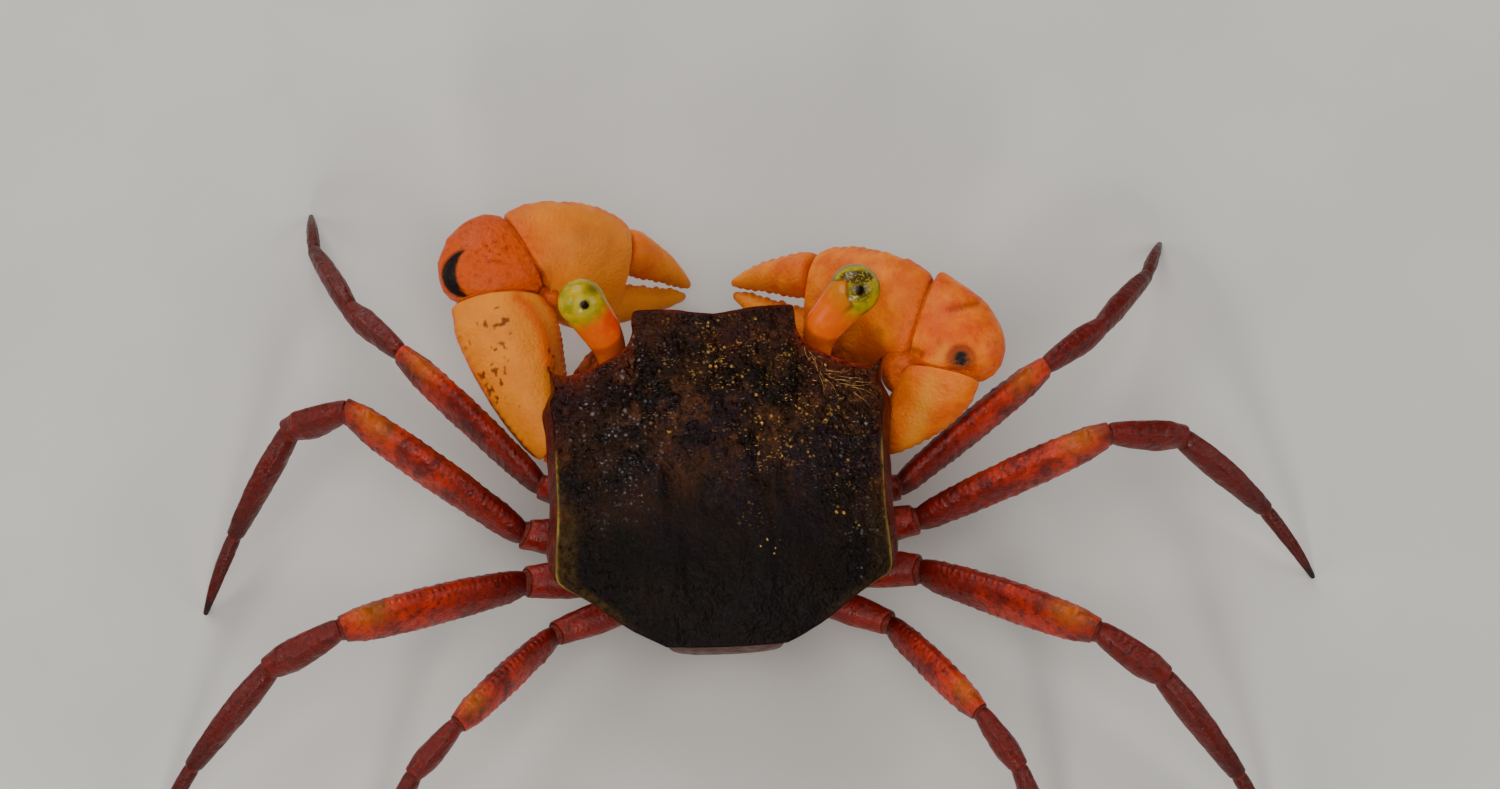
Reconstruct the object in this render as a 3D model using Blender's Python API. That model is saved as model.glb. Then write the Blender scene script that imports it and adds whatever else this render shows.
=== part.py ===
"""A vampire crab, Geosesarma notophorum, life size and still, as closed solids.

The crab stands on z = 0, faces -Y and has its left side at +X. Sizes are in millimetres and are
turned into metres where each mesh is made, which also moves the origin to the middle of the feet. The
body has a frame of its own, level, with x = 0 on the middle line, y = 0 on the line of the outer orbital
teeth, y growing towards the tail and z = 0 at the top of the back. body_to_world tips it nose up and
lifts it over the floor. Limb joints share its x and y but are given over the floor.
"""

import math

import bmesh
import bpy
from mathutils import Matrix, Vector

MM = 0.001
CARAPACE_WIDTH = 12.0  # across the second lateral teeth of an adult
GAP = 0.3  # left between neighbouring pieces
PITCH = math.radians(4.5)  # nose up
TURNING_POINT = Vector((0, 4.0, -6.3))  # on the sternum, in the body's frame
STERNUM_HEIGHT = 1.9  # of that point over the floor
LEFT, RIGHT = 1, -1
UP = Vector((0, 0, 1))

# Outline of the carapace from above, as shares of its width: (place along the edge, x, y)
FRONT_EDGE = (
    (0.00, 0.000, -0.166), (0.12, 0.065, -0.174), (0.24, 0.130, -0.186), (0.42, 0.236, -0.186),
    (0.47, 0.245, -0.166), (0.53, 0.248, -0.108), (0.61, 0.272, -0.058), (0.71, 0.333, -0.018),
    (0.80, 0.396, 0.006), (0.89, 0.452, 0.016), (0.95, 0.482, 0.004), (1.00, 0.504, -0.014),
)
SIDE_EDGE = (
    (0.00, 0.504, -0.014), (0.08, 0.484, 0.062), (0.12, 0.500, 0.094), (0.20, 0.494, 0.170),
    (0.34, 0.490, 0.300), (0.49, 0.491, 0.450), (0.64, 0.502, 0.600), (0.68, 0.494, 0.640),
    (0.79, 0.400, 0.705), (0.90, 0.290, 0.785), (1.00, 0.180, 0.840),
)
REAR_Y = 0.845  # hind margin on the middle line
BACK_COLUMNS, BACK_ROWS = 32, 22  # faces across the back and along it

# Height of the back in millimetres: (y, height on the middle line, fall towards the side edge)
BACK = (
    (-2.3, -0.86, 0.45), (-1.0, -0.42, 0.58), (0.0, -0.20, 0.68), (1.6, -0.04, 0.80), (3.2, 0.0, 0.95),
    (5.0, -0.02, 1.08), (6.5, -0.22, 1.12), (8.0, -0.75, 1.00), (9.1, -1.38, 0.70), (10.2, -2.04, 0.30),
)
SWELLINGS = (  # (x, y, radius across, radius along, height), on both sides
    (0.75, -1.15, 0.50, 0.38, 0.17), (2.15, -1.05, 0.55, 0.40, 0.15), (0.0, -0.9, 0.22, 0.9, -0.14),
    (1.45, 0.9, 0.85, 0.9, 0.09), (3.9, 4.2, 1.5, 2.1, 0.13), (0.0, 2.1, 0.75, 1.1, 0.09),
    (1.35, 3.6, 0.28, 0.9, -0.12), (1.75, 5.3, 0.30, 0.9, -0.13), (0.0, 5.4, 0.95, 0.8, 0.08),
    (3.0, 1.1, 0.30, 0.8, -0.10), (3.3, 7.0, 0.5, 0.7, -0.08),
)

# Rings of the carapace below its edge: (y offset, share of the edge's y, height, pull to the lower rim)
PLATE_RINGS = (
    (-0.15, 1, -1.35, 0.00), (-0.05, 1, -2.10, 0.03), (0.85, 1, -2.25, 0.08),
    (-0.50, 0, -2.75, 0.20), (-0.05, 0, -3.50, 0.50), (0.20, 0, -5.00, 1.00),
)
ORBIT_RINGS = (
    (0.15, 1, -1.20, 0.00), (1.30, 1, -1.30, 0.04), (1.15, 1, -2.62, 0.08),
    (-0.30, 0, -2.62, 0.10), (-0.05, 0, -3.60, 0.45), (0.20, 0, -5.00, 1.00),
)
# How far each of these rings stands forward where the lower margin of the orbit shows below the eye
LOWER_MARGIN = (0, 0, 0, 1.10, 0.60, 0)
# Places along the front edge where the frontal plate, the lower margin and the orbit begin to blend into
# what follows, and over how much of the edge
PLATE_END, ORBIT_END, FACE_BLEND = 0.43, 0.87, 0.10
MARGIN_START, MARGIN_END, MARGIN_BLEND = 0.52, 0.76, 0.18
TOOTH_RINGS = (
    (0.10, 1, -1.30, 0.02), (0.20, 1, -1.75, 0.06), (0.20, 1, -2.25, 0.12),
    (0.10, 0, -2.70, 0.24), (0.05, 0, -3.60, 0.58), (0.20, 0, -5.00, 1.00),
)
# Rings of the flank: (how far it bulges past the edge, share of the drop to the lower rim)
FLANK_RINGS = ((0.10, 0.14), (0.27, 0.34), (0.30, 0.54), (0.10, 0.72), (-0.15, 0.88), (0.0, 1.0))
RIM_FRONT_HALF = 3.7  # lower rim at the mouth, half its width
RIM_STEP = ((0.0, 0.20, -5.00), (1.0, 0.78, -5.00), (2.0, 1.00, -3.45))  # (row, y, z) beside the mouth
RIM_HEIGHT = -3.45
RIM_OVERHANG = 0.45  # of the rim past the thorax wall
REAR_RIM = (8.95, -3.20)  # y and z of the lower rim behind
RIM_CORNER = 0.6  # how far the rim draws in at its hind corners
THORAX_TOP = RIM_HEIGHT - GAP

# Thorax under the carapace: (y, half width at the top, half width of the sternum, height of the sternum)
THORAX = (
    (1.35, 3.0, 1.5, -5.9), (1.9, 4.0, 2.5, -6.2), (3.2, 4.6, 3.4, -6.3), (5.0, 4.8, 3.7, -6.3),
    (6.8, 4.5, 3.4, -6.3), (8.2, 3.8, 2.7, -6.15), (8.9, 3.1, 2.3, -4.85),
)
STERNUM_EDGE = 0.15  # how much lower the middle of the sternum is than its sides
GROOVE_DEPTH, GROOVE_END, GROOVE_TAIL = 0.85, 0.05, 8.0  # the pleon's groove, and where it runs out
GROOVE_START = 1.9

# Middle line of the pleon: (place, y, z, half width), from the hind margin round and under
PLEON_LINE = (
    (0.00, 9.62, -2.86, 2.00), (0.07, 9.64, -3.42, 2.10), (0.15, 9.56, -4.20, 2.00),
    (0.24, 9.22, -5.02, 1.82), (0.33, 8.62, -5.66, 1.62), (0.42, 7.80, -5.98, 1.42),
    (0.60, 6.00, -6.08, 1.20), (0.78, 4.30, -6.08, 0.95), (0.90, 3.20, -6.02, 0.68),
    (1.00, 2.40, -5.98, 0.34),
)
PLEON_THICKNESS = 0.6
PLEON_SEAMS = (0.12, 0.24, 0.38, 0.53, 0.68, 0.84)
SEAM_DEPTH, SEAM_WIDTH = 0.10, 0.03
GROOVE = tuple((y, half) for _, y, _, half in reversed(PLEON_LINE[3:]))  # under the sternum

# The left third maxilliped: (place, z, half width, x, half thickness), from its foot up
MAXILLIPED = (
    (0.0, -5.65, 0.55, 0.95, 0.32), (0.18, -5.2, 0.78, 1.18, 0.38), (0.5, -4.45, 0.85, 1.40, 0.40),
    (0.62, -4.15, 0.74, 1.46, 0.34), (0.80, -3.7, 0.68, 1.40, 0.38), (1.0, -3.15, 0.42, 1.10, 0.26),
)
MAXILLIPED_Y = -0.78

# Middle line of the left eyestalk up to where the cornea's ball takes over: (place, x, y, z, radius)
EYE_STALK = (
    (0.00, 3.84, 0.30, -1.95, 0.36), (0.22, 3.76, -0.36, -1.94, 0.42), (0.45, 3.80, -1.05, -1.66, 0.58),
    (0.64, 4.04, -1.55, -1.22, 0.71),
)
EYE_CENTRE = {LEFT: (4.75, -2.42, -0.20), RIGHT: (-5.15, -2.50, -0.16)}  # the eyes turn each on its own
CORNEA_RADIUS = {LEFT: 0.86, RIGHT: 0.93}
EYE_SIDES = 14
STALK_PLACES = (0.0, 0.12, 0.25, 0.37, 0.49, 0.60, 0.71)
STALK_END = (0.82, 0.79)  # place and radius of the last ring below the ball
CORNEA_RINGS = (-10, 14, 36, 58, 76)  # their angles above the ball's middle, in degrees

# Middle line of the left antenna and its radius, from the hollow beside the frontal plate
ANTENNA_LINE = (
    (0.0, 2.46, -0.92, -2.98, 0.28), (0.2, 2.54, -1.30, -2.98, 0.33), (0.38, 2.62, -1.65, -2.94, 0.30),
    (0.5, 2.66, -1.88, -2.90, 0.24), (0.75, 2.74, -2.28, -2.84, 0.17), (1.0, 2.80, -2.62, -2.78, 0.10),
)

# Roots of the limbs on the thorax wall: y of the middle, from the chelipeds to the last legs
ROOT_Y = (2.15, 3.80, 5.25, 6.65, 7.95)
ROOT_HEIGHT = -4.75

# Joints of each walking leg: end of the base, knee, wrist, ankle, tip, in world millimetres
LEGS = {
    ("leg1", LEFT): ((6.5, 3.1, 3.2), (11.5, -1.7, 4.9), (13.4, -3.9, 3.9), (14.9, -7.2, 2.0), (15.2, -9.6, 0)),
    ("leg2", LEFT): ((7.2, 5.1, 3.6), (13.3, 1.6, 7.6), (15.5, 1.5, 5.7), (17.9, 4.2, 2.2), (19.2, 6.4, 0)),
    ("leg3", LEFT): ((7.2, 6.9, 3.4), (13.7, 9.5, 6.6), (16.3, 10.4, 5.2), (19.4, 13.0, 2.2), (21.0, 14.9, 0)),
    ("leg4", LEFT): ((6.2, 8.8, 3.0), (9.7, 12.8, 5.3), (11.3, 14.3, 4.4), (13.2, 17.2, 1.9), (14.3, 19.2, 0)),
    ("leg1", RIGHT): ((6.6, 3.6, 3.0), (12.2, -0.2, 4.9), (14.4, -2.0, 4.0), (16.6, -4.9, 2.0), (17.5, -7.1, 0)),
    ("leg2", RIGHT): ((7.2, 5.1, 3.5), (14.1, 3.3, 6.8), (16.9, 3.0, 5.4), (20.2, 4.8, 2.3), (22.1, 6.7, 0)),
    ("leg3", RIGHT): ((7.2, 7.0, 3.3), (13.2, 10.6, 6.3), (15.5, 12.0, 5.1), (18.3, 14.9, 2.2), (19.8, 17.0, 0)),
    ("leg4", RIGHT): ((6.0, 8.9, 3.0), (8.9, 13.1, 5.2), (10.2, 14.9, 4.3), (11.6, 18.0, 1.9), (12.5, 20.1, 0)),
}
FEET_X = [side * joints[-1][0] for (_, side), joints in LEGS.items()]
FEET_Y = [joints[-1][1] for joints in LEGS.values()]
# The feet reach furthest every way, so the middle of their box is the middle of the crab's: the origin
FEET_MIDDLE = Vector(((min(FEET_X) + max(FEET_X)) / 2, (min(FEET_Y) + max(FEET_Y)) / 2, 0))

# Half thickness and half height of a leg's pieces where they start, at their fullest and where they end
LEG_GIRTH = {
    "base": ((0.0, 0.62, 0.78), (0.45, 0.66, 0.80), (1.0, 0.52, 0.72)),
    "merus": ((0.0, 0.42, 0.62), (0.10, 0.50, 0.80), (0.55, 0.58, 1.08), (0.90, 0.54, 0.84), (1.0, 0.42, 0.66)),
    "carpus": ((0.0, 0.38, 0.52), (0.30, 0.46, 0.60), (0.75, 0.52, 0.70), (1.0, 0.42, 0.56)),
    "propodus": ((0.0, 0.38, 0.50), (0.35, 0.44, 0.62), (0.85, 0.36, 0.46), (1.0, 0.30, 0.38)),
    "dactylus": ((0.0, 0.27, 0.34), (0.35, 0.25, 0.30), (0.75, 0.17, 0.20), (1.0, 0.10, 0.11)),
}
LEG_SCALE = {"leg1": 0.90, "leg2": 1.0, "leg3": 1.04, "leg4": 0.84}
LEG_BOW = {"merus": 0.12, "carpus": 0.0, "propodus": 0.10, "dactylus": 0.16}  # how far a piece arches up
LEG_SIDES = {"base": 12, "merus": 10, "carpus": 10, "propodus": 10, "dactylus": 8}
FOOT_FLAT = 0.10  # half the flat under each tip
MERUS_KEEL = 0.18  # how much narrower a merus is at its upper edge
# The tooth near the end of each merus: its place, how far it rises and how far it leans to the knee
SPINE_PLACE, SPINE_RISE, SPINE_LEAN = 0.875, 0.34, 0.22
MERUS_PLACES = (0.0, 0.15, 0.32, 0.5, 0.66, 0.80, SPINE_PLACE, 0.93, 1.0)
SHORT_PLACES = (0.0, 0.25, 0.5, 0.75, 1.0)
CLAW_PLACES = (0.0, 0.2, 0.4, 0.6, 0.8, 1.0)

# Chelipeds, in world millimetres. The elbow's pivot is the inside of the bend between merus and palm.
CHELIPEDS = {
    LEFT: {
        "ischium": (5.90, 1.70, 3.80), "pivot": (6.05, -3.60, 5.5), "merus_edge": (9.65, -3.20, 5.7),
        "palm_edge": (7.85, -6.85, 5.8), "bulge": 4.2, "tip": (0.95, -5.30, 0.8), "lean": 54, "bow": 0.05,
    },
    RIGHT: {
        "ischium": (-5.60, 2.25, 3.75), "pivot": (-7.00, 0.20, 6.3), "merus_edge": (-9.65, 1.10, 6.6),
        "palm_edge": (-8.45, -3.50, 6.7), "bulge": 3.75, "tip": (-0.95, -4.55, 2.5), "lean": 58, "bow": 0.35,
    },
}
ARM_HALF_DEPTH = 1.08  # through the merus and carpus at the elbow
ARM_STEPS = 8
ARM_KEEL = -0.25
EDGE_REACH = 0.95  # how far out the carpus's ends reach, by the elbow's spokes
ARM_SIDES, PALM_SIDES, FINGER_SIDES = 14, 16, 12
ELBOW_STEPS = 11
ELBOW_SHOULDER = 0.5  # how soon the carpus reaches its bulge: less is sooner
ELBOW_DEPTH = 1.25  # the carpus's depth at its bulge, by its depth at the joints
ELBOW_INSIDE = 0.35  # the carpus starts this far out from the pivot
CHELIPED_BASE = ((0.0, 0.70, 0.82), (0.5, 0.80, 0.90), (1.0, 0.72, 0.84))
# Merus: (place, half width as a share of the elbow's spoke, half depth)
MERUS_GIRTH = (
    (0.0, 0.22, 0.74), (0.15, 0.31, 0.88), (0.50, 0.45, 1.06), (0.85, 0.51, 1.12), (1.0, 0.455, 0.98),
)
# Chela: (share of its length, middle up the palm, half height, half thickness)
PALM_GIRTH = (
    (0.00, 0.00, 1.64, 1.04), (0.07, 0.03, 1.90, 1.20), (0.18, 0.05, 2.15, 1.32), (0.34, 0.02, 2.30, 1.36),
    (0.47, -0.05, 2.24, 1.28), (0.53, -0.10, 2.12, 1.16),
)
FIXED_FINGER = (
    (0.55, -1.10, 0.88, 0.88), (0.66, -0.92, 0.68, 0.72), (0.80, -0.58, 0.50, 0.55),
    (0.92, -0.22, 0.34, 0.36), (1.00, 0.00, 0.14, 0.16),
)
MOVABLE_FINGER = (
    (0.575, 1.05, 0.88, 0.90), (0.62, 1.08, 0.85, 0.88), (0.72, 1.00, 0.70, 0.74), (0.84, 0.86, 0.52, 0.56),
    (0.94, 0.65, 0.33, 0.37), (1.01, 0.47, 0.14, 0.16),
)
PALM_TURN = 0.16  # share of the chela's length over which it turns from the elbow's plane into its own
# Round teeth along each finger's cutting edge: (share of the chela's length, height)
FIXED_TEETH = (
    (0.625, 0.08), (0.665, 0.13), (0.705, 0.10), (0.745, 0.14), (0.785, 0.09), (0.825, 0.12), (0.865, 0.08),
    (0.905, 0.09), (0.945, 0.05),
)
MOVABLE_TEETH = (
    (0.645, 0.09), (0.685, 0.11), (0.725, 0.14), (0.765, 0.09), (0.805, 0.12), (0.845, 0.08), (0.885, 0.10),
    (0.925, 0.07), (0.965, 0.05),
)
TOOTH_SPACING = 0.04

# Colours of the materials, linear RGB with roughness
MATERIALS = {
    "shell": ((0.018, 0.013, 0.014), 0.38),
    "underside": ((0.30, 0.115, 0.045), 0.50),
    "cheliped": ((0.72, 0.24, 0.035), 0.42),
    "leg": ((0.27, 0.018, 0.012), 0.40),
    "eye": ((0.42, 0.45, 0.03), 0.20),
}


def ease(value):
    """A smooth step from 0 to 1."""
    value = min(max(value, 0.0), 1.0)
    return value * value * (3 - 2 * value)


def mix(first, second, share):
    return first + (second - first) * share


def spline(stops, place):
    """The stops' values at a place: a smooth curve through rows of (place, value, value...)."""
    last = len(stops) - 1
    place = min(max(place, stops[0][0]), stops[last][0])
    index = max(i for i in range(last) if stops[i][0] <= place)
    before, start, end, after = (stops[min(max(index + k, 0), last)] for k in (-1, 0, 1, 2))
    span = end[0] - start[0]
    share = (place - start[0]) / span
    values = []
    for a, b, c, d in zip(before[1:], start[1:], end[1:], after[1:]):
        slope_in = (c - a) / (end[0] - before[0]) * span
        slope_out = (d - b) / (after[0] - start[0]) * span
        square, cube = share * share, share * share * share
        values.append(
            (2 * cube - 3 * square + 1) * b + (cube - 2 * square + share) * slope_in
            + (3 * square - 2 * cube) * c + (cube - square) * slope_out
        )
    return values


def straight(stops, place):
    """As spline, but with straight lines between the stops."""
    last = len(stops) - 1
    place = min(max(place, stops[0][0]), stops[last][0])
    index = max(i for i in range(last) if stops[i][0] <= place)
    start, end = stops[index], stops[index + 1]
    share = (place - start[0]) / (end[0] - start[0])
    return [mix(a, b, share) for a, b in zip(start[1:], end[1:])]


def body_to_world():
    lift = Matrix.Translation((0, TURNING_POINT.y, STERNUM_HEIGHT))
    return lift @ Matrix.Rotation(-PITCH, 4, "X") @ Matrix.Translation(-TURNING_POINT)


BODY = body_to_world()
BODY_BACK = BODY.inverted()


# Meshes

def make_material(name):
    colour, roughness = MATERIALS[name]
    material = bpy.data.materials.new(name)
    material.use_nodes = True
    shader = material.node_tree.nodes["Principled BSDF"]
    shader.inputs["Base Color"].default_value = (*colour, 1)
    shader.inputs["Roughness"].default_value = roughness
    shader.inputs["Metallic"].default_value = 0
    material.diffuse_color = (*colour, 1)
    return material


def make_object(name, points, faces, material, matrix=None):
    """One named object from points in millimetres, with its faces turned outwards."""
    mesh = bpy.data.meshes.new(name)
    placed = [(matrix @ Vector(p) if matrix else Vector(p)) - FEET_MIDDLE for p in points]
    mesh.from_pydata([p * MM for p in placed], [], faces)
    shape = bmesh.new()
    shape.from_mesh(mesh)
    bmesh.ops.recalc_face_normals(shape, faces=shape.faces)
    bmesh.ops.triangulate(shape, faces=shape.faces)
    shape.to_mesh(mesh)
    shape.free()
    mesh.shade_smooth()
    mesh.set_sharp_from_angle(angle=math.radians(40))
    mesh.materials.append(material)
    thing = bpy.data.objects.new(name, mesh)
    bpy.context.collection.objects.link(thing)
    return thing


def closed_tube(rings, tip=None):
    """Points and faces through rings of equal count, each end closed round its middle or at a tip."""
    count = len(rings[0])
    points = [p for ring in rings for p in ring]
    faces = []
    for level in range(len(rings) - 1):
        for k in range(count):
            a, b = level * count + k, level * count + (k + 1) % count
            faces.append((a, b, b + count, a + count))
    start = sum((Vector(p) for p in rings[0]), Vector()) / count
    end = tip or sum((Vector(p) for p in rings[-1]), Vector()) / count
    points += [start, end]
    first, last = len(points) - 2, len(points) - 1
    top = (len(rings) - 1) * count
    for k in range(count):
        nearest = (k + 1) % count
        faces.append((first, nearest, k))
        faces.append((last, top + k, top + nearest))
    return points, faces


def section(centre, wide, tall, sides, power=2.2, keel=0.0):
    """A ring round the centre. wide and tall are its half axes; keel narrows it towards +tall."""
    ring = []
    for k in range(sides):
        angle = 2 * math.pi * (k + 0.5) / sides
        across = math.copysign(abs(math.cos(angle)) ** (2 / power), math.cos(angle))
        up = math.copysign(abs(math.sin(angle)) ** (2 / power), math.sin(angle))
        ring.append(centre + wide * across * (1 - keel * up) + tall * up)
    return ring


def lean_to(vector, direction, normal):
    """The vector slid along direction into the plane through its root with this normal."""
    return vector - direction * (vector.dot(normal) / direction.dot(normal))


def mitred_piece(start, end, start_normal, end_normal, girth, sides, places, bow=0.0, keel=0.0):
    """Rings at places along a piece whose ends lie in the two given planes, GAP apart from its neighbours."""
    direction = (end - start).normalized()
    side = direction.cross(UP).normalized()
    top = side.cross(direction).normalized()
    start = start + direction * (GAP / 2 / abs(direction.dot(start_normal)))
    end = end - direction * (GAP / 2 / abs(direction.dot(end_normal)))
    result = []
    for share in places:
        half_wide, half_tall = spline(girth, share)
        wide = mix(lean_to(side, direction, start_normal), lean_to(side, direction, end_normal), share)
        tall = mix(lean_to(top, direction, start_normal), lean_to(top, direction, end_normal), share)
        centre = mix(start, end, share) + top * (bow * math.sin(math.pi * share))
        result.append(section(centre, wide * half_wide, tall * half_tall, sides, keel=keel))
    return result


# Carapace

def back_height(x, y):
    """Height of the back over the plan, in the body's frame."""
    middle, fall = spline(BACK, y)
    height = middle - fall * abs(2 * x / CARAPACE_WIDTH) ** 2.7
    for cx, cy, across, along, rise in SWELLINGS:
        height += rise * math.exp(-(((abs(x) - cx) / across) ** 2) - ((y - cy) / along) ** 2)
    return height


def edge_point(edge, place, side=1):
    x, y = spline(edge, place)
    return Vector((side * x * CARAPACE_WIDTH, y * CARAPACE_WIDTH, 0))


def front_point(s):
    return edge_point(FRONT_EDGE, abs(s), 1 if s >= 0 else -1)


def rear_point(s):
    corner = SIDE_EDGE[-1]
    y = mix(REAR_Y, corner[2], s * s)
    return Vector((s * corner[1] * CARAPACE_WIDTH, y * CARAPACE_WIDTH, 0))


def back_point(s, t):
    """A point of the back: s from -1 to 1 across, t from 0 at the front to 1 at the hind margin."""
    across = (s + 1) / 2
    front, rear = front_point(s), rear_point(s)
    left, right = edge_point(SIDE_EDGE, t, 1), edge_point(SIDE_EDGE, t, -1)
    corners = mix(
        mix(front_point(-1), front_point(1), across), mix(rear_point(-1), rear_point(1), across), t
    )
    point = mix(front, rear, t) + mix(right, left, across) - corners
    point.z = back_height(point.x, point.y)
    return point


def thorax_at(y):
    return straight(THORAX, y)


def rim_side(row, rows):
    """The lower rim on the left at one row of the back."""
    if row <= 2:
        _, y, z = RIM_STEP[row]
        return Vector((mix(RIM_FRONT_HALF, thorax_at(y)[0] + RIM_OVERHANG + 0.3, row / 2), y, z))
    share = (row - 2) / (rows - 2)
    y = mix(RIM_STEP[2][1], REAR_RIM[0], share)
    z = mix(RIM_HEIGHT, REAR_RIM[1], ease((share - 0.7) / 0.3))
    drawn_in = RIM_CORNER * ease((share - 0.75) / 0.25)
    return Vector((thorax_at(y)[0] + RIM_OVERHANG - drawn_in, y, z))


def face_ring(s, level):
    """The carapace's front below its edge: frontal plate, orbit and cheek."""
    edge = front_point(s)
    place = abs(s)
    tooth = ease((place - ORBIT_END) / FACE_BLEND)
    orbit = ease((place - PLATE_END) / FACE_BLEND) * (1 - tooth)
    plate = 1 - orbit - tooth
    rows = (PLATE_RINGS[level], ORBIT_RINGS[level], TOOTH_RINGS[level])
    offset, share, z, pull = (
        plate * a + orbit * b + tooth * c for a, b, c in zip(*rows)
    )
    shown = ease((place - MARGIN_START) / FACE_BLEND) * (1 - ease((place - MARGIN_END) / MARGIN_BLEND))
    offset -= LOWER_MARGIN[level] * shown
    return Vector((mix(edge.x, s * RIM_FRONT_HALF, pull), offset + share * edge.y, z))


def flank_ring(row, rows, level):
    """The carapace's left side below its edge."""
    edge = back_point(1, row / rows)
    rim = rim_side(row, rows)
    bulge, drop = FLANK_RINGS[level]
    fullness = 1 - ease((row / rows - 0.60) / 0.20)
    z = mix(edge.z, rim.z, drop)
    x = mix(edge.x + bulge * fullness, rim.x, ease((drop - 0.5) / 0.5))
    y = mix(edge.y, rim.y, ease(drop))
    point = Vector((x, y, z))
    return mix(face_ring(1, level), point, ease(row / 3))


def rear_ring(s, level):
    """The carapace's hind edge, turned under."""
    edge = back_point(s, 1)
    drop = FLANK_RINGS[level][1]
    corner = rim_side(BACK_ROWS, BACK_ROWS)
    rim = Vector((s * corner.x, REAR_RIM[0], REAR_RIM[1]))
    point = mix(edge, rim, drop)
    point.y = mix(edge.y, rim.y, ease(1.6 * drop))
    return point


def carapace_mesh():
    columns, rows = BACK_COLUMNS, BACK_ROWS
    places = [2 * i / columns - 1 for i in range(columns + 1)]
    points = [back_point(s, j / rows) for j in range(rows + 1) for s in places]
    index = {(i, j): j * (columns + 1) + i for j in range(rows + 1) for i in range(columns + 1)}
    faces = [
        (index[i, j], index[i + 1, j], index[i + 1, j + 1], index[i, j + 1])
        for j in range(rows) for i in range(columns)
    ]
    mirror = Vector((-1, 1, 1))
    rim = [index[i, 0] for i in range(columns)]
    rim += [index[columns, j] for j in range(rows)]
    rim += [index[i, rows] for i in range(columns, 0, -1)]
    rim += [index[0, j] for j in range(rows, 0, -1)]
    above = rim
    for level in range(len(FLANK_RINGS)):
        ring = [face_ring(s, level) for s in places[:-1]]
        ring += [flank_ring(j, rows, level) for j in range(rows)]
        ring += [rear_ring(s, level) for s in reversed(places[1:])]
        ring += [flank_ring(j, rows, level) * mirror for j in range(rows, 0, -1)]
        start = len(points)
        points += ring
        below = list(range(start, start + len(ring)))
        for k in range(len(rim)):
            nearest = (k + 1) % len(rim)
            faces.append((above[k], above[nearest], below[nearest], below[k]))
        above = below
    # The underside is ruled across, row by row, from a line of points on the middle
    right = [above[0]] + [above[-j] for j in range(1, rows)]
    left = [above[columns + j] for j in range(rows)]
    middle = {}
    for j in range(1, rows):
        middle[j] = len(points)
        points.append((Vector(points[left[j]]) + Vector(points[right[j]])) / 2)
    front = above[:columns + 1]
    rear = above[columns + rows:columns + rows + columns + 1]
    for a, b in zip([right[1]] + front, front + [left[1]]):
        faces.append((a, b, middle[1]))
    for j in range(1, rows - 1):
        faces.append((left[j], left[j + 1], middle[j + 1], middle[j]))
        faces.append((middle[j], middle[j + 1], right[j + 1], right[j]))
    for a, b in zip([left[rows - 1]] + rear, rear + [right[rows - 1]]):
        faces.append((a, b, middle[rows - 1]))
    return points, faces


# Thorax, pleon and mouthparts

def thorax_mesh():
    """The sternum and its side walls, with a groove for the pleon."""
    rings = []
    stations = 13
    for k in range(stations):
        y = mix(THORAX[0][0], THORAX[-1][0], k / (stations - 1))
        top_half, low_half, low = thorax_at(y)
        side_low = low + STERNUM_EDGE
        wall = [(mix(top_half, low_half, d), mix(THORAX_TOP, side_low, d)) for d in (0.02, 0.35, 0.7, 0.97)]
        groove = spline(GROOVE, y)[0] + GAP * 1.2
        fade = ease((y - GROOVE_TAIL) / (THORAX[-1][0] - GROOVE_TAIL))
        deep = mix(GROOVE_DEPTH, GROOVE_END, fade) if y > GROOVE_START else STERNUM_EDGE
        half = wall + [(mix(low_half, groove, 0.5), low), (groove, low), (groove - STERNUM_EDGE, low + deep)]
        outline = [(0.0, THORAX_TOP)] + half + [(0.0, low + deep)] + [(-x, z) for x, z in reversed(half)]
        rings.append([Vector((x, y, z)) for x, z in outline])
    return closed_tube(rings)


def pleon_mesh():
    """The narrow tail plate of a male, folded under, with a shallow step at each joint."""
    steps = 30
    rings = []
    for k in range(steps + 1):
        place = k / steps
        y, z, half = spline(PLEON_LINE, place)
        ahead = spline(PLEON_LINE, min(place + 0.01, 1.0))
        behind = spline(PLEON_LINE, max(place - 0.01, 0.0))
        along = Vector((0, ahead[0] - behind[0], ahead[1] - behind[1])).normalized()
        outward = along.cross(Vector((1, 0, 0))).normalized()
        near = min(abs(place - seam) for seam in PLEON_SEAMS)
        dip = SEAM_DEPTH * (1 - ease(near / SEAM_WIDTH))
        tall = outward * (PLEON_THICKNESS / 2 - dip / 2)
        centre = Vector((0, y, z)) - outward * (dip / 2)
        rings.append(section(centre, Vector((half, 0, 0)), tall, 12, power=2.8))
    return closed_tube(rings)


def maxilliped_mesh(side):
    """One third maxilliped: a leaf that narrows to leave a gape beside the middle line."""
    rings = []
    steps = 10
    for k in range(steps + 1):
        z, half, x, thick = spline(MAXILLIPED, k / steps)
        centre = Vector((side * x, MAXILLIPED_Y, z))
        rings.append(section(centre, Vector((half, 0, 0)), Vector((0, thick, 0)), 12, power=2.6))
    return closed_tube(rings)


# Eyes and antennae

def tube_along(line, places, sides):
    """Rings at places round a curved middle line with rows of (place, x, y, z, radius)."""
    rings = []
    for place in places:
        x, y, z, radius = spline(line, place)
        ahead = Vector(spline(line, min(place + 0.02, 1.0))[:3])
        behind = Vector(spline(line, max(place - 0.02, 0.0))[:3])
        wide = (ahead - behind).normalized().cross(UP).normalized()
        tall = wide.cross((ahead - behind).normalized())
        rings.append(section(Vector((x, y, z)), wide * radius, tall * radius, sides, power=2))
    return rings


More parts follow.
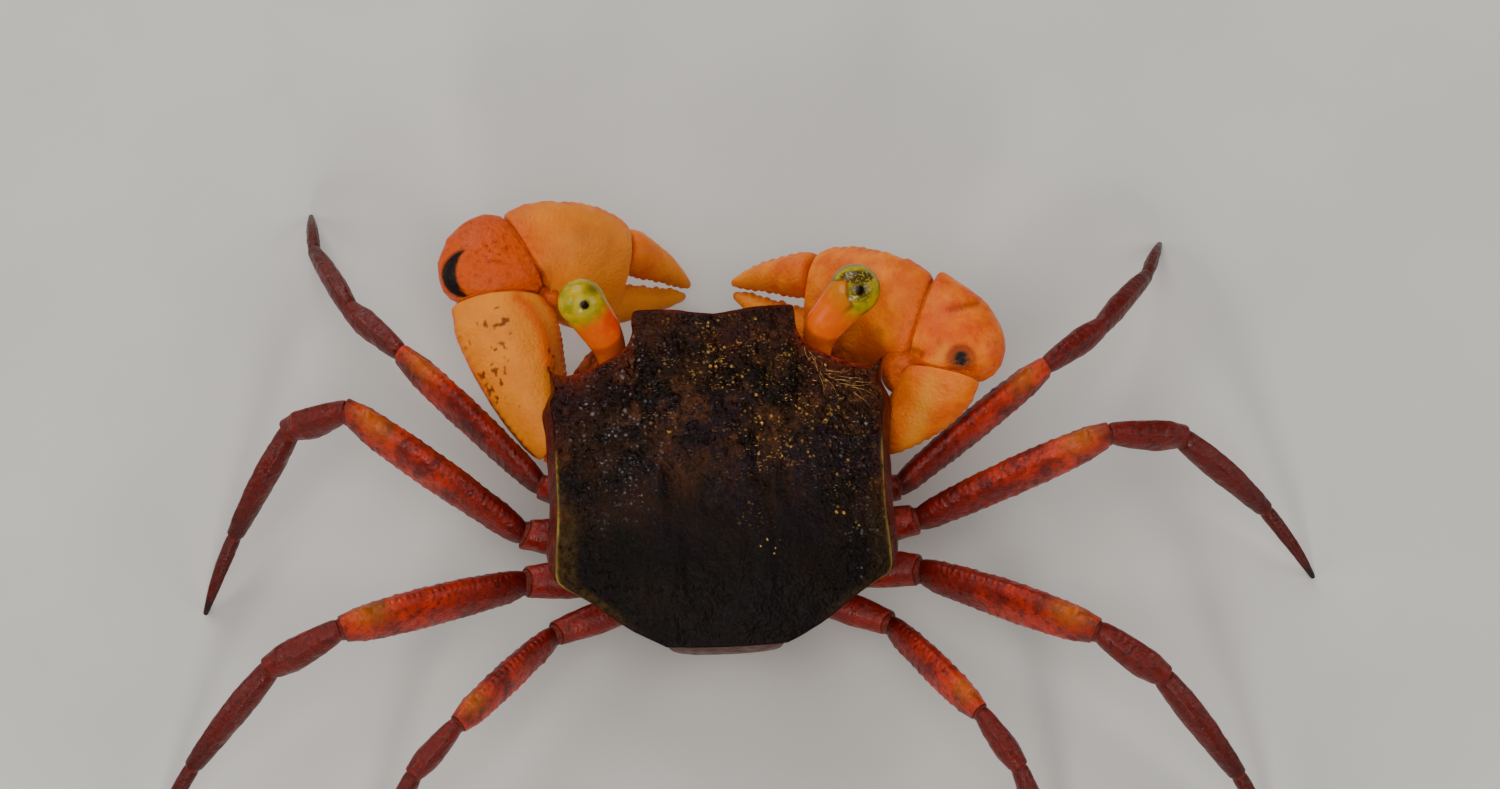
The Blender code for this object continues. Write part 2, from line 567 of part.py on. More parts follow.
def eye_mesh(side):
    """A stalk that rises out of the orbit and swells into the round cornea."""
    mirror = Vector((side, 1, 1))
    ball = Vector(EYE_CENTRE[side]) * mirror
    full = CORNEA_RADIUS[side]
    middle = (1.0, *ball, full)
    place, radius = STALK_END
    below = (place, *spline(EYE_STALK + (middle,), place)[:3], radius)
    rings = tube_along(EYE_STALK + (below, middle), STALK_PLACES + (place,), EYE_SIDES)
    along = (ball - Vector(below[1:4])).normalized()
    wide = along.cross(UP).normalized()
    tall = wide.cross(along)
    for degrees in CORNEA_RINGS:
        angle = math.radians(degrees)
        size = full * math.cos(angle)
        centre = ball + along * full * math.sin(angle)
        rings.append(section(centre, wide * size, tall * size, EYE_SIDES, power=2))
    points, faces = closed_tube(rings, tip=ball + along * full)
    return [Vector(p) * mirror for p in points], faces


def antenna_mesh(side):
    steps = 12
    points, faces = closed_tube(tube_along(ANTENNA_LINE, [k / steps for k in range(steps + 1)], 8))
    return [Vector(p) * Vector((side, 1, 1)) for p in points], faces


# Limbs

def off_the_wall(point, direction):
    """The point slid along direction until it stands about GAP off the thorax wall."""
    def distance(share):
        place = BODY_BACK @ (point + direction * share)
        top_half, low_half, low = thorax_at(place.y)
        down = (THORAX_TOP - place.z) / (THORAX_TOP - low - STERNUM_EDGE)
        return abs(place.x) - mix(top_half, low_half, down) - GAP * 1.2

    near, far = -3.0, 3.0
    for _ in range(40):
        middle = (near + far) / 2
        if distance(middle) < 0:
            near = middle
        else:
            far = middle
    return point + direction * far


def root_of(side, place):
    """Where the middle of a limb meets the thorax wall."""
    return BODY @ Vector((side * thorax_at(ROOT_Y[place])[0], ROOT_Y[place], ROOT_HEIGHT))


def rooted_piece(end, end_normal, side, place, girth, sides):
    """A limb's base, from the thorax wall at its root to the given end."""
    root = root_of(side, place)
    direction = (end - root).normalized()
    rings = mitred_piece(root, end, direction, end_normal, girth, sides, SHORT_PLACES)
    rings[0] = [off_the_wall(p, direction) for p in rings[0]]
    return rings


def leg_meshes(name, side):
    """The five pieces of one walking leg."""
    place = int(name[3])
    scale = LEG_SCALE[name]
    girth = {piece: [(t, w * scale, h * scale) for t, w, h in rows] for piece, rows in LEG_GIRTH.items()}
    path = [root_of(side, place)] + [Vector((side * x, y, z)) for x, y, z in LEGS[name, side]]
    ways = [(b - a).normalized() for a, b in zip(path, path[1:])]
    normals = [ways[0]] + [(a + b).normalized() for a, b in zip(ways, ways[1:])] + [ways[-1]]
    base = rooted_piece(path[1], normals[1], side, place, girth["base"], LEG_SIDES["base"])
    pieces = {"base": closed_tube(base)}
    for k, piece in enumerate(("merus", "carpus", "propodus"), start=1):
        ends = path[k], path[k + 1], normals[k], normals[k + 1], girth[piece], LEG_SIDES[piece]
        if piece == "merus":
            rings = mitred_piece(*ends, MERUS_PLACES, LEG_BOW[piece], MERUS_KEEL)
            raise_spine(rings[MERUS_PLACES.index(SPINE_PLACE)], ways[k], scale)
        else:
            rings = mitred_piece(*ends, SHORT_PLACES, LEG_BOW[piece])
        pieces[piece] = closed_tube(rings)
    pieces["dactylus"] = closed_tube(dactylus_rings(path[4], path[5], normals[4], girth["dactylus"]))
    return pieces


def raise_spine(ring, way, scale):
    """The tooth on the upper edge of a merus, near its end."""
    top = max(range(len(ring)), key=lambda corner: ring[corner].z)
    ring[top] += (UP * SPINE_RISE + way * SPINE_LEAN) * scale


def dactylus_rings(start, tip, start_normal, girth):
    """The last piece, a tapered claw whose end is a small flat on the floor."""
    way = (tip - start).normalized()
    sides = LEG_SIDES["dactylus"]
    rings = mitred_piece(start, tip + way * GAP / 2, start_normal, way, girth, sides, CLAW_PLACES,
                         bow=LEG_BOW["dactylus"])
    flat = section(tip, Vector((FOOT_FLAT, 0, 0)), Vector((0, FOOT_FLAT, 0)), sides, power=2)
    turn = min(range(sides), key=lambda k: sum(
        (p.xy - flat[(j + k) % sides].xy).length for j, p in enumerate(rings[-1])
    ))
    rings[-1] = [flat[(j + turn) % sides] for j in range(sides)]
    return rings


def elbow_frame(plan):
    """The bend between merus and palm: spokes from the pivot to both edges, and the axis they turn about."""
    pivot = Vector(plan["pivot"])
    first, last = Vector(plan["merus_edge"]) - pivot, Vector(plan["palm_edge"]) - pivot
    axis = first.cross(last).normalized()
    return pivot, first, last, axis


def cheliped_meshes(side):
    """Base, merus, carpus, palm with the fixed finger, and the movable finger."""
    plan = CHELIPEDS[side]
    ischium = Vector(plan["ischium"])
    elbow = elbow_frame(plan)
    pivot, first, _, _ = elbow
    arm = (pivot + first / 2 - ischium).normalized()
    base_normal = ((ischium - root_of(side, 0)).normalized() + arm).normalized()
    chela = chela_frame(elbow, Vector(plan["tip"]), plan["lean"])
    return {
        "base": closed_tube(rooted_piece(ischium, base_normal, side, 0, CHELIPED_BASE, ARM_SIDES)),
        "merus": closed_tube(arm_rings(ischium, base_normal, elbow, arm, plan["bow"])),
        "carpus": closed_tube(elbow_rings(elbow, plan["bulge"])),
        "palm": closed_tube(palm_rings(chela, elbow)),
        "finger": closed_tube(finger_rings(chela)),
    }


def arm_rings(start, start_normal, elbow, way, bow):
    """The merus, which widens from its root to the elbow and bows outwards."""
    pivot, first, _, axis = elbow
    outward = first.normalized()
    end_normal = axis.cross(outward)
    start = start + start_normal * (GAP / 2)
    end = pivot + first / 2 - end_normal * (GAP / 2)
    first_wide = lean_to(outward, way, start_normal)
    first_deep = lean_to(axis, way, start_normal)
    rings = []
    for k in range(ARM_STEPS + 1):
        share = k / ARM_STEPS
        half_wide, half_deep = spline(MERUS_GIRTH, share)
        wide = mix(first_wide, outward, share) * (half_wide * first.length)
        deep = mix(first_deep, axis, share) * half_deep
        centre = mix(start, end, share) + outward * (bow * math.sin(math.pi * share))
        rings.append(section(centre, wide, deep, ARM_SIDES, keel=ARM_KEEL))
    return rings


def elbow_rings(elbow, bulge):
    """The carpus: sections that swing round the pivot from the merus to the palm."""
    pivot, first, last, axis = elbow
    whole = first.angle(last)
    margin = GAP / bulge
    rings = []
    for k in range(ELBOW_STEPS + 1):
        share = k / ELBOW_STEPS
        swell = math.sin(math.pi * share)
        outward = Matrix.Rotation(mix(margin, whole - margin, share), 3, axis) @ first.normalized()
        edge_reach = mix(first.length, last.length, share) * EDGE_REACH
        reach = mix(edge_reach, bulge, swell ** ELBOW_SHOULDER)
        centre = pivot + outward * (ELBOW_INSIDE + reach) / 2
        deep = axis * ARM_HALF_DEPTH * mix(1.0, ELBOW_DEPTH, swell)
        rings.append(section(centre, outward * (reach - ELBOW_INSIDE) / 2, deep, ARM_SIDES, power=2.3))
    return rings


def chela_frame(elbow, tip, lean):
    """A chela's origin, its directions along, up the palm and through it, and its length."""
    pivot, _, last, axis = elbow
    start = pivot + last / 2 + axis.cross(last).normalized() * (GAP / 2)
    way = (tip - start).normalized()
    angle = math.radians(lean)
    rise = Vector((0, -math.sin(angle), math.cos(angle)))
    rise = (rise - way * rise.dot(way)).normalized()
    through = way.cross(rise).normalized()
    if through.dot(axis) < 0:
        through.negate()
    return start, way, rise, through, (tip - start).length


def toothed_places(teeth):
    """Places of the rings that a row of teeth needs: at each tooth and between them."""
    return [place + step for place, _ in teeth for step in (0.0, TOOTH_SPACING / 2)]


def tooth_height(teeth, place):
    return max(height * max(0.0, 1 - abs(place - at) / (TOOTH_SPACING / 2)) for at, height in teeth)


def grow_tooth(ring, upward, height, on_top):
    """Pushes the corners of a finger's ring on its cutting side out into a tooth."""
    count = len(ring)
    for corner in (0, count - 1) if on_top else (count // 2 - 1, count // 2):
        ring[corner] += upward * (height if on_top else -height)


def palm_rings(chela, elbow):
    """The palm, turned from the elbow's plane into its own, then stepped down to the fixed finger."""
    start, way, rise, through, length = chela
    _, _, last, axis = elbow
    stops = PALM_GIRTH + FIXED_FINGER
    finger_start = FIXED_FINGER[0][0]
    plain_places = [row[0] for row in PALM_GIRTH] + [finger_start, 1.0]
    rings = []
    for share in sorted(plain_places + toothed_places(FIXED_TEETH)):
        middle, tall, thick = straight(stops, share)
        turned = ease(share / PALM_TURN)
        upward = mix(last.normalized(), rise, turned).normalized()
        across = mix(axis, through, turned).normalized()
        centre = start + way * (length * share) + rise * middle
        rings.append(section(centre, upward * tall, across * thick, PALM_SIDES))
        if share > finger_start:
            grow_tooth(rings[-1], upward, tooth_height(FIXED_TEETH, share), on_top=True)
    return rings


def finger_rings(chela):
    """The movable finger, hooked down over the fixed one with a narrow gape between."""
    start, way, rise, through, length = chela
    rings = []
    plain_places = [MOVABLE_FINGER[0][0], MOVABLE_FINGER[1][0], MOVABLE_FINGER[-1][0]]
    for share in sorted(plain_places + toothed_places(MOVABLE_TEETH)):
        middle, tall, thick = straight(MOVABLE_FINGER, share)
        centre = start + way * (length * share) + rise * middle
        rings.append(section(centre, rise * tall, through * thick, FINGER_SIDES))
        grow_tooth(rings[-1], rise, tooth_height(MOVABLE_TEETH, share), on_top=False)
    return rings


def clear_scene():
    for thing in list(bpy.data.objects):
        bpy.data.objects.remove(thing, do_unlink=True)


def build():
    clear_scene()
    shell, underside, cheliped, leg, eye = (make_material(name) for name in MATERIALS)
    make_object("carapace", *carapace_mesh(), shell, BODY)
    make_object("thorax", *thorax_mesh(), underside, BODY)
    make_object("pleon", *pleon_mesh(), underside, BODY)
    for side, word in ((LEFT, "left"), (RIGHT, "right")):
        make_object(f"maxilliped_{word}", *maxilliped_mesh(side), underside, BODY)
        make_object(f"eye_{word}", *eye_mesh(side), eye, BODY)
        make_object(f"antenna_{word}", *antenna_mesh(side), underside, BODY)
        for piece, (points, faces) in cheliped_meshes(side).items():
            make_object(f"cheliped_{word}_{piece}", points, faces, cheliped)
        for name in LEG_SCALE:
            for piece, (points, faces) in leg_meshes(name, side).items():
                make_object(f"{name}_{word}_{piece}", points, faces, leg)


build()
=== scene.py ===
"""The look of a vampire crab: fine shell, soft joints, eyes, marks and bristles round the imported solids.

Shapes are worked out in millimetres. The body has a frame of its own, level, with x = 0 on the middle
line and +x to the crab's left, y = 0 on the line of the outer orbital teeth, y growing towards the tail
and z = 0 at the top of the back. Limb joints share its x and y but are given over the floor.
"""

import math

import bpy
import numpy as np
from mathutils import Matrix, Vector
from mathutils.kdtree import KDTree


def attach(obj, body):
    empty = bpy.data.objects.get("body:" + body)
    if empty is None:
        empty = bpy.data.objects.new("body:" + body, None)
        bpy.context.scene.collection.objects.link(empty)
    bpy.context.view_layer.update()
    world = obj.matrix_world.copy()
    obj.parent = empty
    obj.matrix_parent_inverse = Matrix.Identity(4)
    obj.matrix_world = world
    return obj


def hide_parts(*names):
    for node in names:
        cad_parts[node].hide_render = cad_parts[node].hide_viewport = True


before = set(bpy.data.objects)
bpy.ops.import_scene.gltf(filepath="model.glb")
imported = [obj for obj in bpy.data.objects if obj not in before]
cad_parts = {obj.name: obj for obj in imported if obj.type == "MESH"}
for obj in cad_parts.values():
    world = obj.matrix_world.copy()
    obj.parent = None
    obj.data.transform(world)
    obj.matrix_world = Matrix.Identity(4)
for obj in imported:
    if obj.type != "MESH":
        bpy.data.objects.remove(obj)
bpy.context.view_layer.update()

MM = 0.001
CARAPACE_WIDTH = 12.0
GAP = 0.3
PITCH = math.radians(4.5)
TURNING_POINT = Vector((0, 4.0, -6.3))
STERNUM_HEIGHT = 1.9
LEFT, RIGHT = 1, -1
SIDES = ((LEFT, "left"), (RIGHT, "right"))

# The photograph's frame, in pixels, and the camera that matches it
PHOTO_WIDTH, PHOTO_HEIGHT = 1500, 789
AIM_PIXEL = (720, 462)
CAMERA_AZIMUTH, CAMERA_ELEVATION, CAMERA_ROLL = 176.0, 68.0, 1.5
LENS, SENSOR, CAMERA_DISTANCE = 100, 36, 149.0
AIM = (0.0, 4.2, 7.8)

# Outline of the carapace from above, as shares of its width: (place along the edge, x, y)
FRONT_EDGE = (
    (0.00, 0.000, -0.166), (0.12, 0.065, -0.174), (0.24, 0.130, -0.186), (0.42, 0.236, -0.186),
    (0.47, 0.245, -0.166), (0.53, 0.248, -0.108), (0.61, 0.272, -0.058), (0.71, 0.333, -0.018),
    (0.80, 0.396, 0.006), (0.89, 0.452, 0.016), (0.95, 0.482, 0.004), (1.00, 0.504, -0.014),
)
SIDE_EDGE = (
    (0.00, 0.504, -0.014), (0.08, 0.484, 0.062), (0.12, 0.500, 0.094), (0.20, 0.494, 0.170),
    (0.34, 0.490, 0.300), (0.49, 0.491, 0.450), (0.64, 0.502, 0.600), (0.68, 0.494, 0.640),
    (0.79, 0.400, 0.705), (0.90, 0.290, 0.785), (1.00, 0.180, 0.840),
)
REAR_Y = 0.845

# Height of the back: (y, height on the middle line, fall towards the side edge)
BACK = (
    (-2.3, -0.86, 0.45), (-1.0, -0.42, 0.58), (0.0, -0.20, 0.68), (1.6, -0.04, 0.80), (3.2, 0.0, 0.95),
    (5.0, -0.02, 1.08), (6.5, -0.22, 1.12), (8.0, -0.75, 1.00), (9.1, -1.38, 0.70), (10.2, -2.04, 0.30),
)
SWELLINGS = (  # (x, y, radius across, radius along, height), on both sides
    (0.75, -1.15, 0.50, 0.38, 0.17), (2.15, -1.05, 0.55, 0.40, 0.15), (0.0, -0.9, 0.22, 0.9, -0.14),
    (1.45, 0.9, 0.85, 0.9, 0.09), (3.9, 4.2, 1.5, 2.1, 0.13), (0.0, 2.1, 0.75, 1.1, 0.09),
    (1.35, 3.6, 0.28, 0.9, -0.12), (1.75, 5.3, 0.30, 0.9, -0.13), (0.0, 5.4, 0.95, 0.8, 0.08),
    (3.0, 1.1, 0.30, 0.8, -0.10), (3.3, 7.0, 0.5, 0.7, -0.08),
)
FINE_SWELLINGS = (  # the same, only for the eye
    (1.45, -0.75, 0.10, 0.55, -0.09), (0.0, -0.55, 0.09, 1.0, -0.08), (0.8, -0.35, 0.65, 0.12, -0.07),
    (2.3, -0.30, 0.45, 0.11, -0.06), (2.75, 0.6, 0.16, 1.1, -0.09), (1.2, 3.0, 0.7, 0.16, -0.07),
    (2.4, 2.9, 0.6, 0.9, 0.06), (2.1, 4.2, 0.18, 1.3, -0.07), (0.0, 3.75, 0.8, 0.12, -0.06),
    (0.0, 7.3, 1.3, 0.9, 0.05), (1.6, 7.2, 0.16, 1.2, -0.06), (4.4, 2.0, 0.9, 0.7, 0.06),
)

# Rings of the carapace below its edge: (y offset, share of the edge's y, height, pull to the lower rim)
PLATE_RINGS = (
    (-0.15, 1, -1.35, 0.00), (-0.05, 1, -2.10, 0.03), (0.85, 1, -2.25, 0.08),
    (-0.50, 0, -2.75, 0.20), (-0.05, 0, -3.50, 0.50), (0.20, 0, -5.00, 1.00),
)
ORBIT_RINGS = (
    (0.15, 1, -1.20, 0.00), (1.30, 1, -1.30, 0.04), (1.15, 1, -2.62, 0.08),
    (-0.30, 0, -2.62, 0.10), (-0.05, 0, -3.60, 0.45), (0.20, 0, -5.00, 1.00),
)
LOWER_MARGIN = (0, 0, 0, 1.10, 0.60, 0)  # how far each ring stands forward below the eye
PLATE_END, ORBIT_END, FACE_BLEND = 0.43, 0.87, 0.10  # places along the front edge
MARGIN_START, MARGIN_END, MARGIN_BLEND = 0.52, 0.76, 0.18
TOOTH_RINGS = (
    (0.10, 1, -1.30, 0.02), (0.20, 1, -1.75, 0.06), (0.20, 1, -2.25, 0.12),
    (0.10, 0, -2.70, 0.24), (0.05, 0, -3.60, 0.58), (0.20, 0, -5.00, 1.00),
)
# Rings of the flank: (how far it bulges past the edge, share of the drop to the lower rim)
FLANK_RINGS = ((0.10, 0.14), (0.27, 0.34), (0.30, 0.54), (0.10, 0.72), (-0.15, 0.88), (0.0, 1.0))
RIM_FRONT_HALF = 3.7
RIM_STEP = ((0.0, 0.20, -5.00), (1.0, 0.78, -5.00), (2.0, 1.00, -3.45))  # (place, y, z) beside the mouth
SIDE_ROWS = 22  # the shapes of the side margin are set out on this many rows
RIM_STEP_SHARE = 2 / SIDE_ROWS  # of the side that the step beside the mouth takes up
FACE_SHARE = 3 / SIDE_ROWS  # of the side over which the face passes into the flank
RIM_HEIGHT = -3.45
RIM_OVERHANG = 0.45
REAR_RIM = (8.95, -3.20)  # y and z of the lower rim behind
RIM_CORNER = 0.6

# Thorax under the carapace: (y, half width at the top, half width of the sternum, height of the sternum)
THORAX = (
    (1.35, 3.0, 1.5, -5.9), (1.9, 4.0, 2.5, -6.2), (3.2, 4.6, 3.4, -6.3), (5.0, 4.8, 3.7, -6.3),
    (6.8, 4.5, 3.4, -6.3), (8.2, 3.8, 2.7, -6.15), (8.9, 3.1, 2.3, -4.85),
)
ROOT_Y = (2.15, 3.80, 5.25, 6.65, 7.95)
ROOT_HEIGHT = -4.75
PLEON_THICKNESS = 0.6
PLEON_LINE = (
    (0.00, 9.62, -2.86, 2.00), (0.07, 9.64, -3.42, 2.10), (0.15, 9.56, -4.20, 2.00),
    (0.24, 9.22, -5.02, 1.82), (0.33, 8.62, -5.66, 1.62), (0.42, 7.80, -5.98, 1.42),
    (0.60, 6.00, -6.08, 1.20), (0.78, 4.30, -6.08, 0.95), (0.90, 3.20, -6.02, 0.68),
    (1.00, 2.40, -5.98, 0.34),
)
PLEON_SEAMS = (0.12, 0.24, 0.38, 0.53, 0.68, 0.84)
GROOVE = tuple((y, half) for _, y, _, half in reversed(PLEON_LINE[3:]))
THORAX_TOP = RIM_HEIGHT - GAP
STERNUM_EDGE = 0.15
GROOVE_DEPTH, GROOVE_END, GROOVE_TAIL = 0.85, 0.05, 8.0
GROOVE_START = 1.9
MAXILLIPED_Y = -0.78
MAXILLIPED = (  # (place, z, half width, x, half thickness)
    (0.0, -5.65, 0.55, 0.95, 0.32), (0.18, -5.2, 0.78, 1.18, 0.38), (0.5, -4.45, 0.85, 1.40, 0.40),
    (0.62, -4.15, 0.74, 1.46, 0.34), (0.80, -3.7, 0.68, 1.40, 0.38), (1.0, -3.15, 0.42, 1.10, 0.26),
)
EYE_STALK = (
    (0.00, 3.84, 0.30, -1.95, 0.36), (0.22, 3.76, -0.36, -1.94, 0.42), (0.45, 3.80, -1.05, -1.66, 0.58),
    (0.64, 4.04, -1.55, -1.22, 0.71),
)
EYE_CENTRE = {LEFT: (4.75, -2.42, -0.20), RIGHT: (-5.15, -2.50, -0.16)}  # the eyes turn each on its own
CORNEA_RADIUS = {LEFT: 0.86, RIGHT: 0.93}
STALK_END = (0.82, 0.79)  # place and radius of the last ring below the ball
ANTENNA_LINE = (
    (0.0, 2.46, -0.92, -2.98, 0.28), (0.2, 2.54, -1.30, -2.98, 0.33), (0.38, 2.62, -1.65, -2.94, 0.30),
    (0.5, 2.66, -1.88, -2.90, 0.24), (0.75, 2.74, -2.28, -2.84, 0.17), (1.0, 2.80, -2.62, -2.78, 0.10),
)

# Joints of each walking leg: end of the base, knee, wrist, ankle, tip, in world millimetres
LEGS = {
    ("leg1", LEFT): (
        (6.5, 3.1, 3.2), (11.5, -1.7, 4.9), (13.4, -3.9, 3.9), (14.9, -7.2, 2.0), (15.2, -9.6, 0),
    ),
    ("leg2", LEFT): (
        (7.2, 5.1, 3.6), (13.3, 1.6, 7.6), (15.5, 1.5, 5.7), (17.9, 4.2, 2.2), (19.2, 6.4, 0),
    ),
    ("leg3", LEFT): (
        (7.2, 6.9, 3.4), (13.7, 9.5, 6.6), (16.3, 10.4, 5.2), (19.4, 13.0, 2.2), (21.0, 14.9, 0),
    ),
    ("leg4", LEFT): (
        (6.2, 8.8, 3.0), (9.7, 12.8, 5.3), (11.3, 14.3, 4.4), (13.2, 17.2, 1.9), (14.3, 19.2, 0),
    ),
    ("leg1", RIGHT): (
        (6.6, 3.6, 3.0), (12.2, -0.2, 4.9), (14.4, -2.0, 4.0), (16.6, -4.9, 2.0), (17.5, -7.1, 0),
    ),
    ("leg2", RIGHT): (
        (7.2, 5.1, 3.5), (14.1, 3.3, 6.8), (16.9, 3.0, 5.4), (20.2, 4.8, 2.3), (22.1, 6.7, 0),
    ),
    ("leg3", RIGHT): (
        (7.2, 7.0, 3.3), (13.2, 10.6, 6.3), (15.5, 12.0, 5.1), (18.3, 14.9, 2.2), (19.8, 17.0, 0),
    ),
    ("leg4", RIGHT): (
        (6.0, 8.9, 3.0), (8.9, 13.1, 5.2), (10.2, 14.9, 4.3), (11.6, 18.0, 1.9), (12.5, 20.1, 0),
    ),
}
FEET_X = [side * joints[-1][0] for (_, side), joints in LEGS.items()]
FEET_Y = [joints[-1][1] for joints in LEGS.values()]
FEET_MIDDLE = Vector(((min(FEET_X) + max(FEET_X)) / 2, (min(FEET_Y) + max(FEET_Y)) / 2, 0))
LEG_GIRTH = {
    "base": ((0.0, 0.62, 0.78), (0.45, 0.66, 0.80), (1.0, 0.52, 0.72)),
    "merus": (
        (0.0, 0.42, 0.62), (0.10, 0.50, 0.80), (0.55, 0.58, 1.08), (0.90, 0.54, 0.84), (1.0, 0.42, 0.66),
    ),
    "carpus": ((0.0, 0.38, 0.52), (0.30, 0.46, 0.60), (0.75, 0.52, 0.70), (1.0, 0.42, 0.56)),
    "propodus": ((0.0, 0.38, 0.50), (0.35, 0.44, 0.62), (0.85, 0.36, 0.46), (1.0, 0.30, 0.38)),
    "dactylus": ((0.0, 0.27, 0.34), (0.35, 0.25, 0.30), (0.75, 0.17, 0.20), (1.0, 0.10, 0.11)),
}
LEG_SCALE = {"leg1": 0.90, "leg2": 1.0, "leg3": 1.04, "leg4": 0.84}
LEG_BOW = {"merus": 0.12, "carpus": 0.0, "propodus": 0.10, "dactylus": 0.16}  # how far a piece arches up
FOOT_FLAT = 0.10
MERUS_KEEL = 0.18
SPINE_PLACE, SPINE_RISE, SPINE_LEAN = 0.875, 0.34, 0.22

CHELIPEDS = {
    LEFT: {
        "ischium": (5.90, 1.70, 3.80), "pivot": (6.05, -3.60, 5.5), "merus_edge": (9.65, -3.20, 5.7),
        "palm_edge": (7.85, -6.85, 5.8), "bulge": 4.2, "tip": (0.95, -5.30, 0.8), "lean": 54, "bow": 0.05,
        "skin": 0.45,
    },
    RIGHT: {
        "ischium": (-5.60, 2.25, 3.75), "pivot": (-7.00, 0.20, 6.3), "merus_edge": (-9.65, 1.10, 6.6),
        "palm_edge": (-8.45, -3.50, 6.7), "bulge": 3.75, "tip": (-0.95, -4.55, 2.5), "lean": 58, "bow": 0.35,
        "skin": 0.97,
    },
}
LIMB_POWER, ELBOW_POWER, FINGER_POWER = 2.2, 2.3, 2.1  # how square their sections are
ARM_HALF_DEPTH = 1.08
ARM_KEEL = -0.25
EDGE_REACH = 0.95
ELBOW_SHOULDER = 0.5
ELBOW_DEPTH = 1.25
ELBOW_INSIDE = 0.35
CHELIPED_BASE = ((0.0, 0.70, 0.82), (0.5, 0.80, 0.90), (1.0, 0.72, 0.84))
MERUS_GIRTH = (
    (0.0, 0.22, 0.74), (0.15, 0.31, 0.88), (0.50, 0.45, 1.06), (0.85, 0.51, 1.12), (1.0, 0.455, 0.98),
)
PALM_GIRTH = (
    (0.00, 0.00, 1.64, 1.04), (0.07, 0.03, 1.90, 1.20), (0.18, 0.05, 2.15, 1.32), (0.34, 0.02, 2.30, 1.36),
    (0.47, -0.05, 2.24, 1.28), (0.53, -0.10, 2.12, 1.16),
)
FIXED_FINGER = (
    (0.55, -1.10, 0.88, 0.88), (0.66, -0.92, 0.68, 0.72), (0.80, -0.58, 0.50, 0.55),
    (0.92, -0.22, 0.34, 0.36), (1.00, 0.00, 0.14, 0.16),
)
MOVABLE_FINGER = (
    (0.575, 1.05, 0.88, 0.90), (0.62, 1.08, 0.85, 0.88), (0.72, 1.00, 0.70, 0.74), (0.84, 0.86, 0.52, 0.56),
    (0.94, 0.65, 0.33, 0.37), (1.01, 0.47, 0.14, 0.16),
)
FINGER_START, FINGER_END = MOVABLE_FINGER[0][0], MOVABLE_FINGER[-1][0]
PALM_TURN = 0.16  # share of the palm over which it turns out of the elbow's plane
# Round teeth along each finger's cutting edge: (share of the chela's length, height)
FIXED_TEETH = (
    (0.625, 0.08), (0.665, 0.13), (0.705, 0.10), (0.745, 0.14), (0.785, 0.09), (0.825, 0.12), (0.865, 0.08),
    (0.905, 0.09), (0.945, 0.05),
)
MOVABLE_TEETH = (
    (0.645, 0.09), (0.685, 0.11), (0.725, 0.14), (0.765, 0.09), (0.805, 0.12), (0.845, 0.08), (0.885, 0.10),
    (0.925, 0.07), (0.965, 0.05),
)

# Fineness of the meshes
BACK_COLUMNS, BACK_ROWS, FLANK_LEVELS = 440, 400, 40
THORAX_ROWS, THORAX_SIDES = 130, 160
TAIL_ROWS, TAIL_SIDES = 220, 48
MOUTH_ROWS, MOUTH_SIDES = 110, 44
STALK_ROWS, CORNEA_ROWS, EYE_SIDES = 90, 60, 72
FEELER_ROWS, FEELER_SIDES = 150, 20
BASE_ROWS, LIMB_SIDES, ARM_SIDES = 40, 56, 112
LEG_ROWS = {"merus": 110, "carpus": 56, "propodus": 56, "dactylus": 60}
ARM_ROWS = {"merus": 130, "carpus": 170, "palm": 260, "finger": 150}
JOINT_ROWS = 22
ELBOW_ROWS, ELBOW_SIDES = 40, 48
HAIR_ROWS, HAIR_SIDES = 8, 4
SEED = 20

UP = Vector((0, 0, 1))
HASH_PRIMES, HASH_MIX, HASH_STEP, HASH_START = (73856093, 19349663, 83492791), 1274126177, 7919, 101
NOISE_SHIFT = 512.0  # keeps the noise's cells away from negative numbers


# Numbers

def ease(value):
    value = np.clip(value, 0.0, 1.0)
    return value * value * (3 - 2 * value)


def mix(first, second, share):
    return first + (second - first) * share


def hump(distance, width):
    """A bell: 1 at no distance, fading over the width."""
    return np.exp(-(distance / width) ** 2)


def spline(stops, place):
    """Smooth values at one or many places, through rows of (place, value, value...)."""
    rows = np.array(stops, float)
    at, values = rows[:, 0], rows[:, 1:]
    slopes = np.empty_like(values)
    slopes[1:-1] = (values[2:] - values[:-2]) / (at[2:] - at[:-2])[:, None]
    slopes[0] = (values[1] - values[0]) / (at[1] - at[0])
    slopes[-1] = (values[-1] - values[-2]) / (at[-1] - at[-2])
    place = np.clip(np.asarray(place, float), at[0], at[-1])
    index = np.clip(np.searchsorted(at, place, side="right") - 1, 0, len(at) - 2)
    span = at[index + 1] - at[index]
    t = ((place - at[index]) / span)[..., None]
    span = span[..., None]
    return (
        (2 * t ** 3 - 3 * t ** 2 + 1) * values[index] + (t ** 3 - 2 * t ** 2 + t) * span * slopes[index]
        + (3 * t ** 2 - 2 * t ** 3) * values[index + 1] + (t ** 3 - t ** 2) * span * slopes[index + 1]
    )


def straight(stops, place):
    rows = np.array(stops, float)
    return np.stack([np.interp(place, rows[:, 0], column) for column in rows[:, 1:].T], axis=-1)


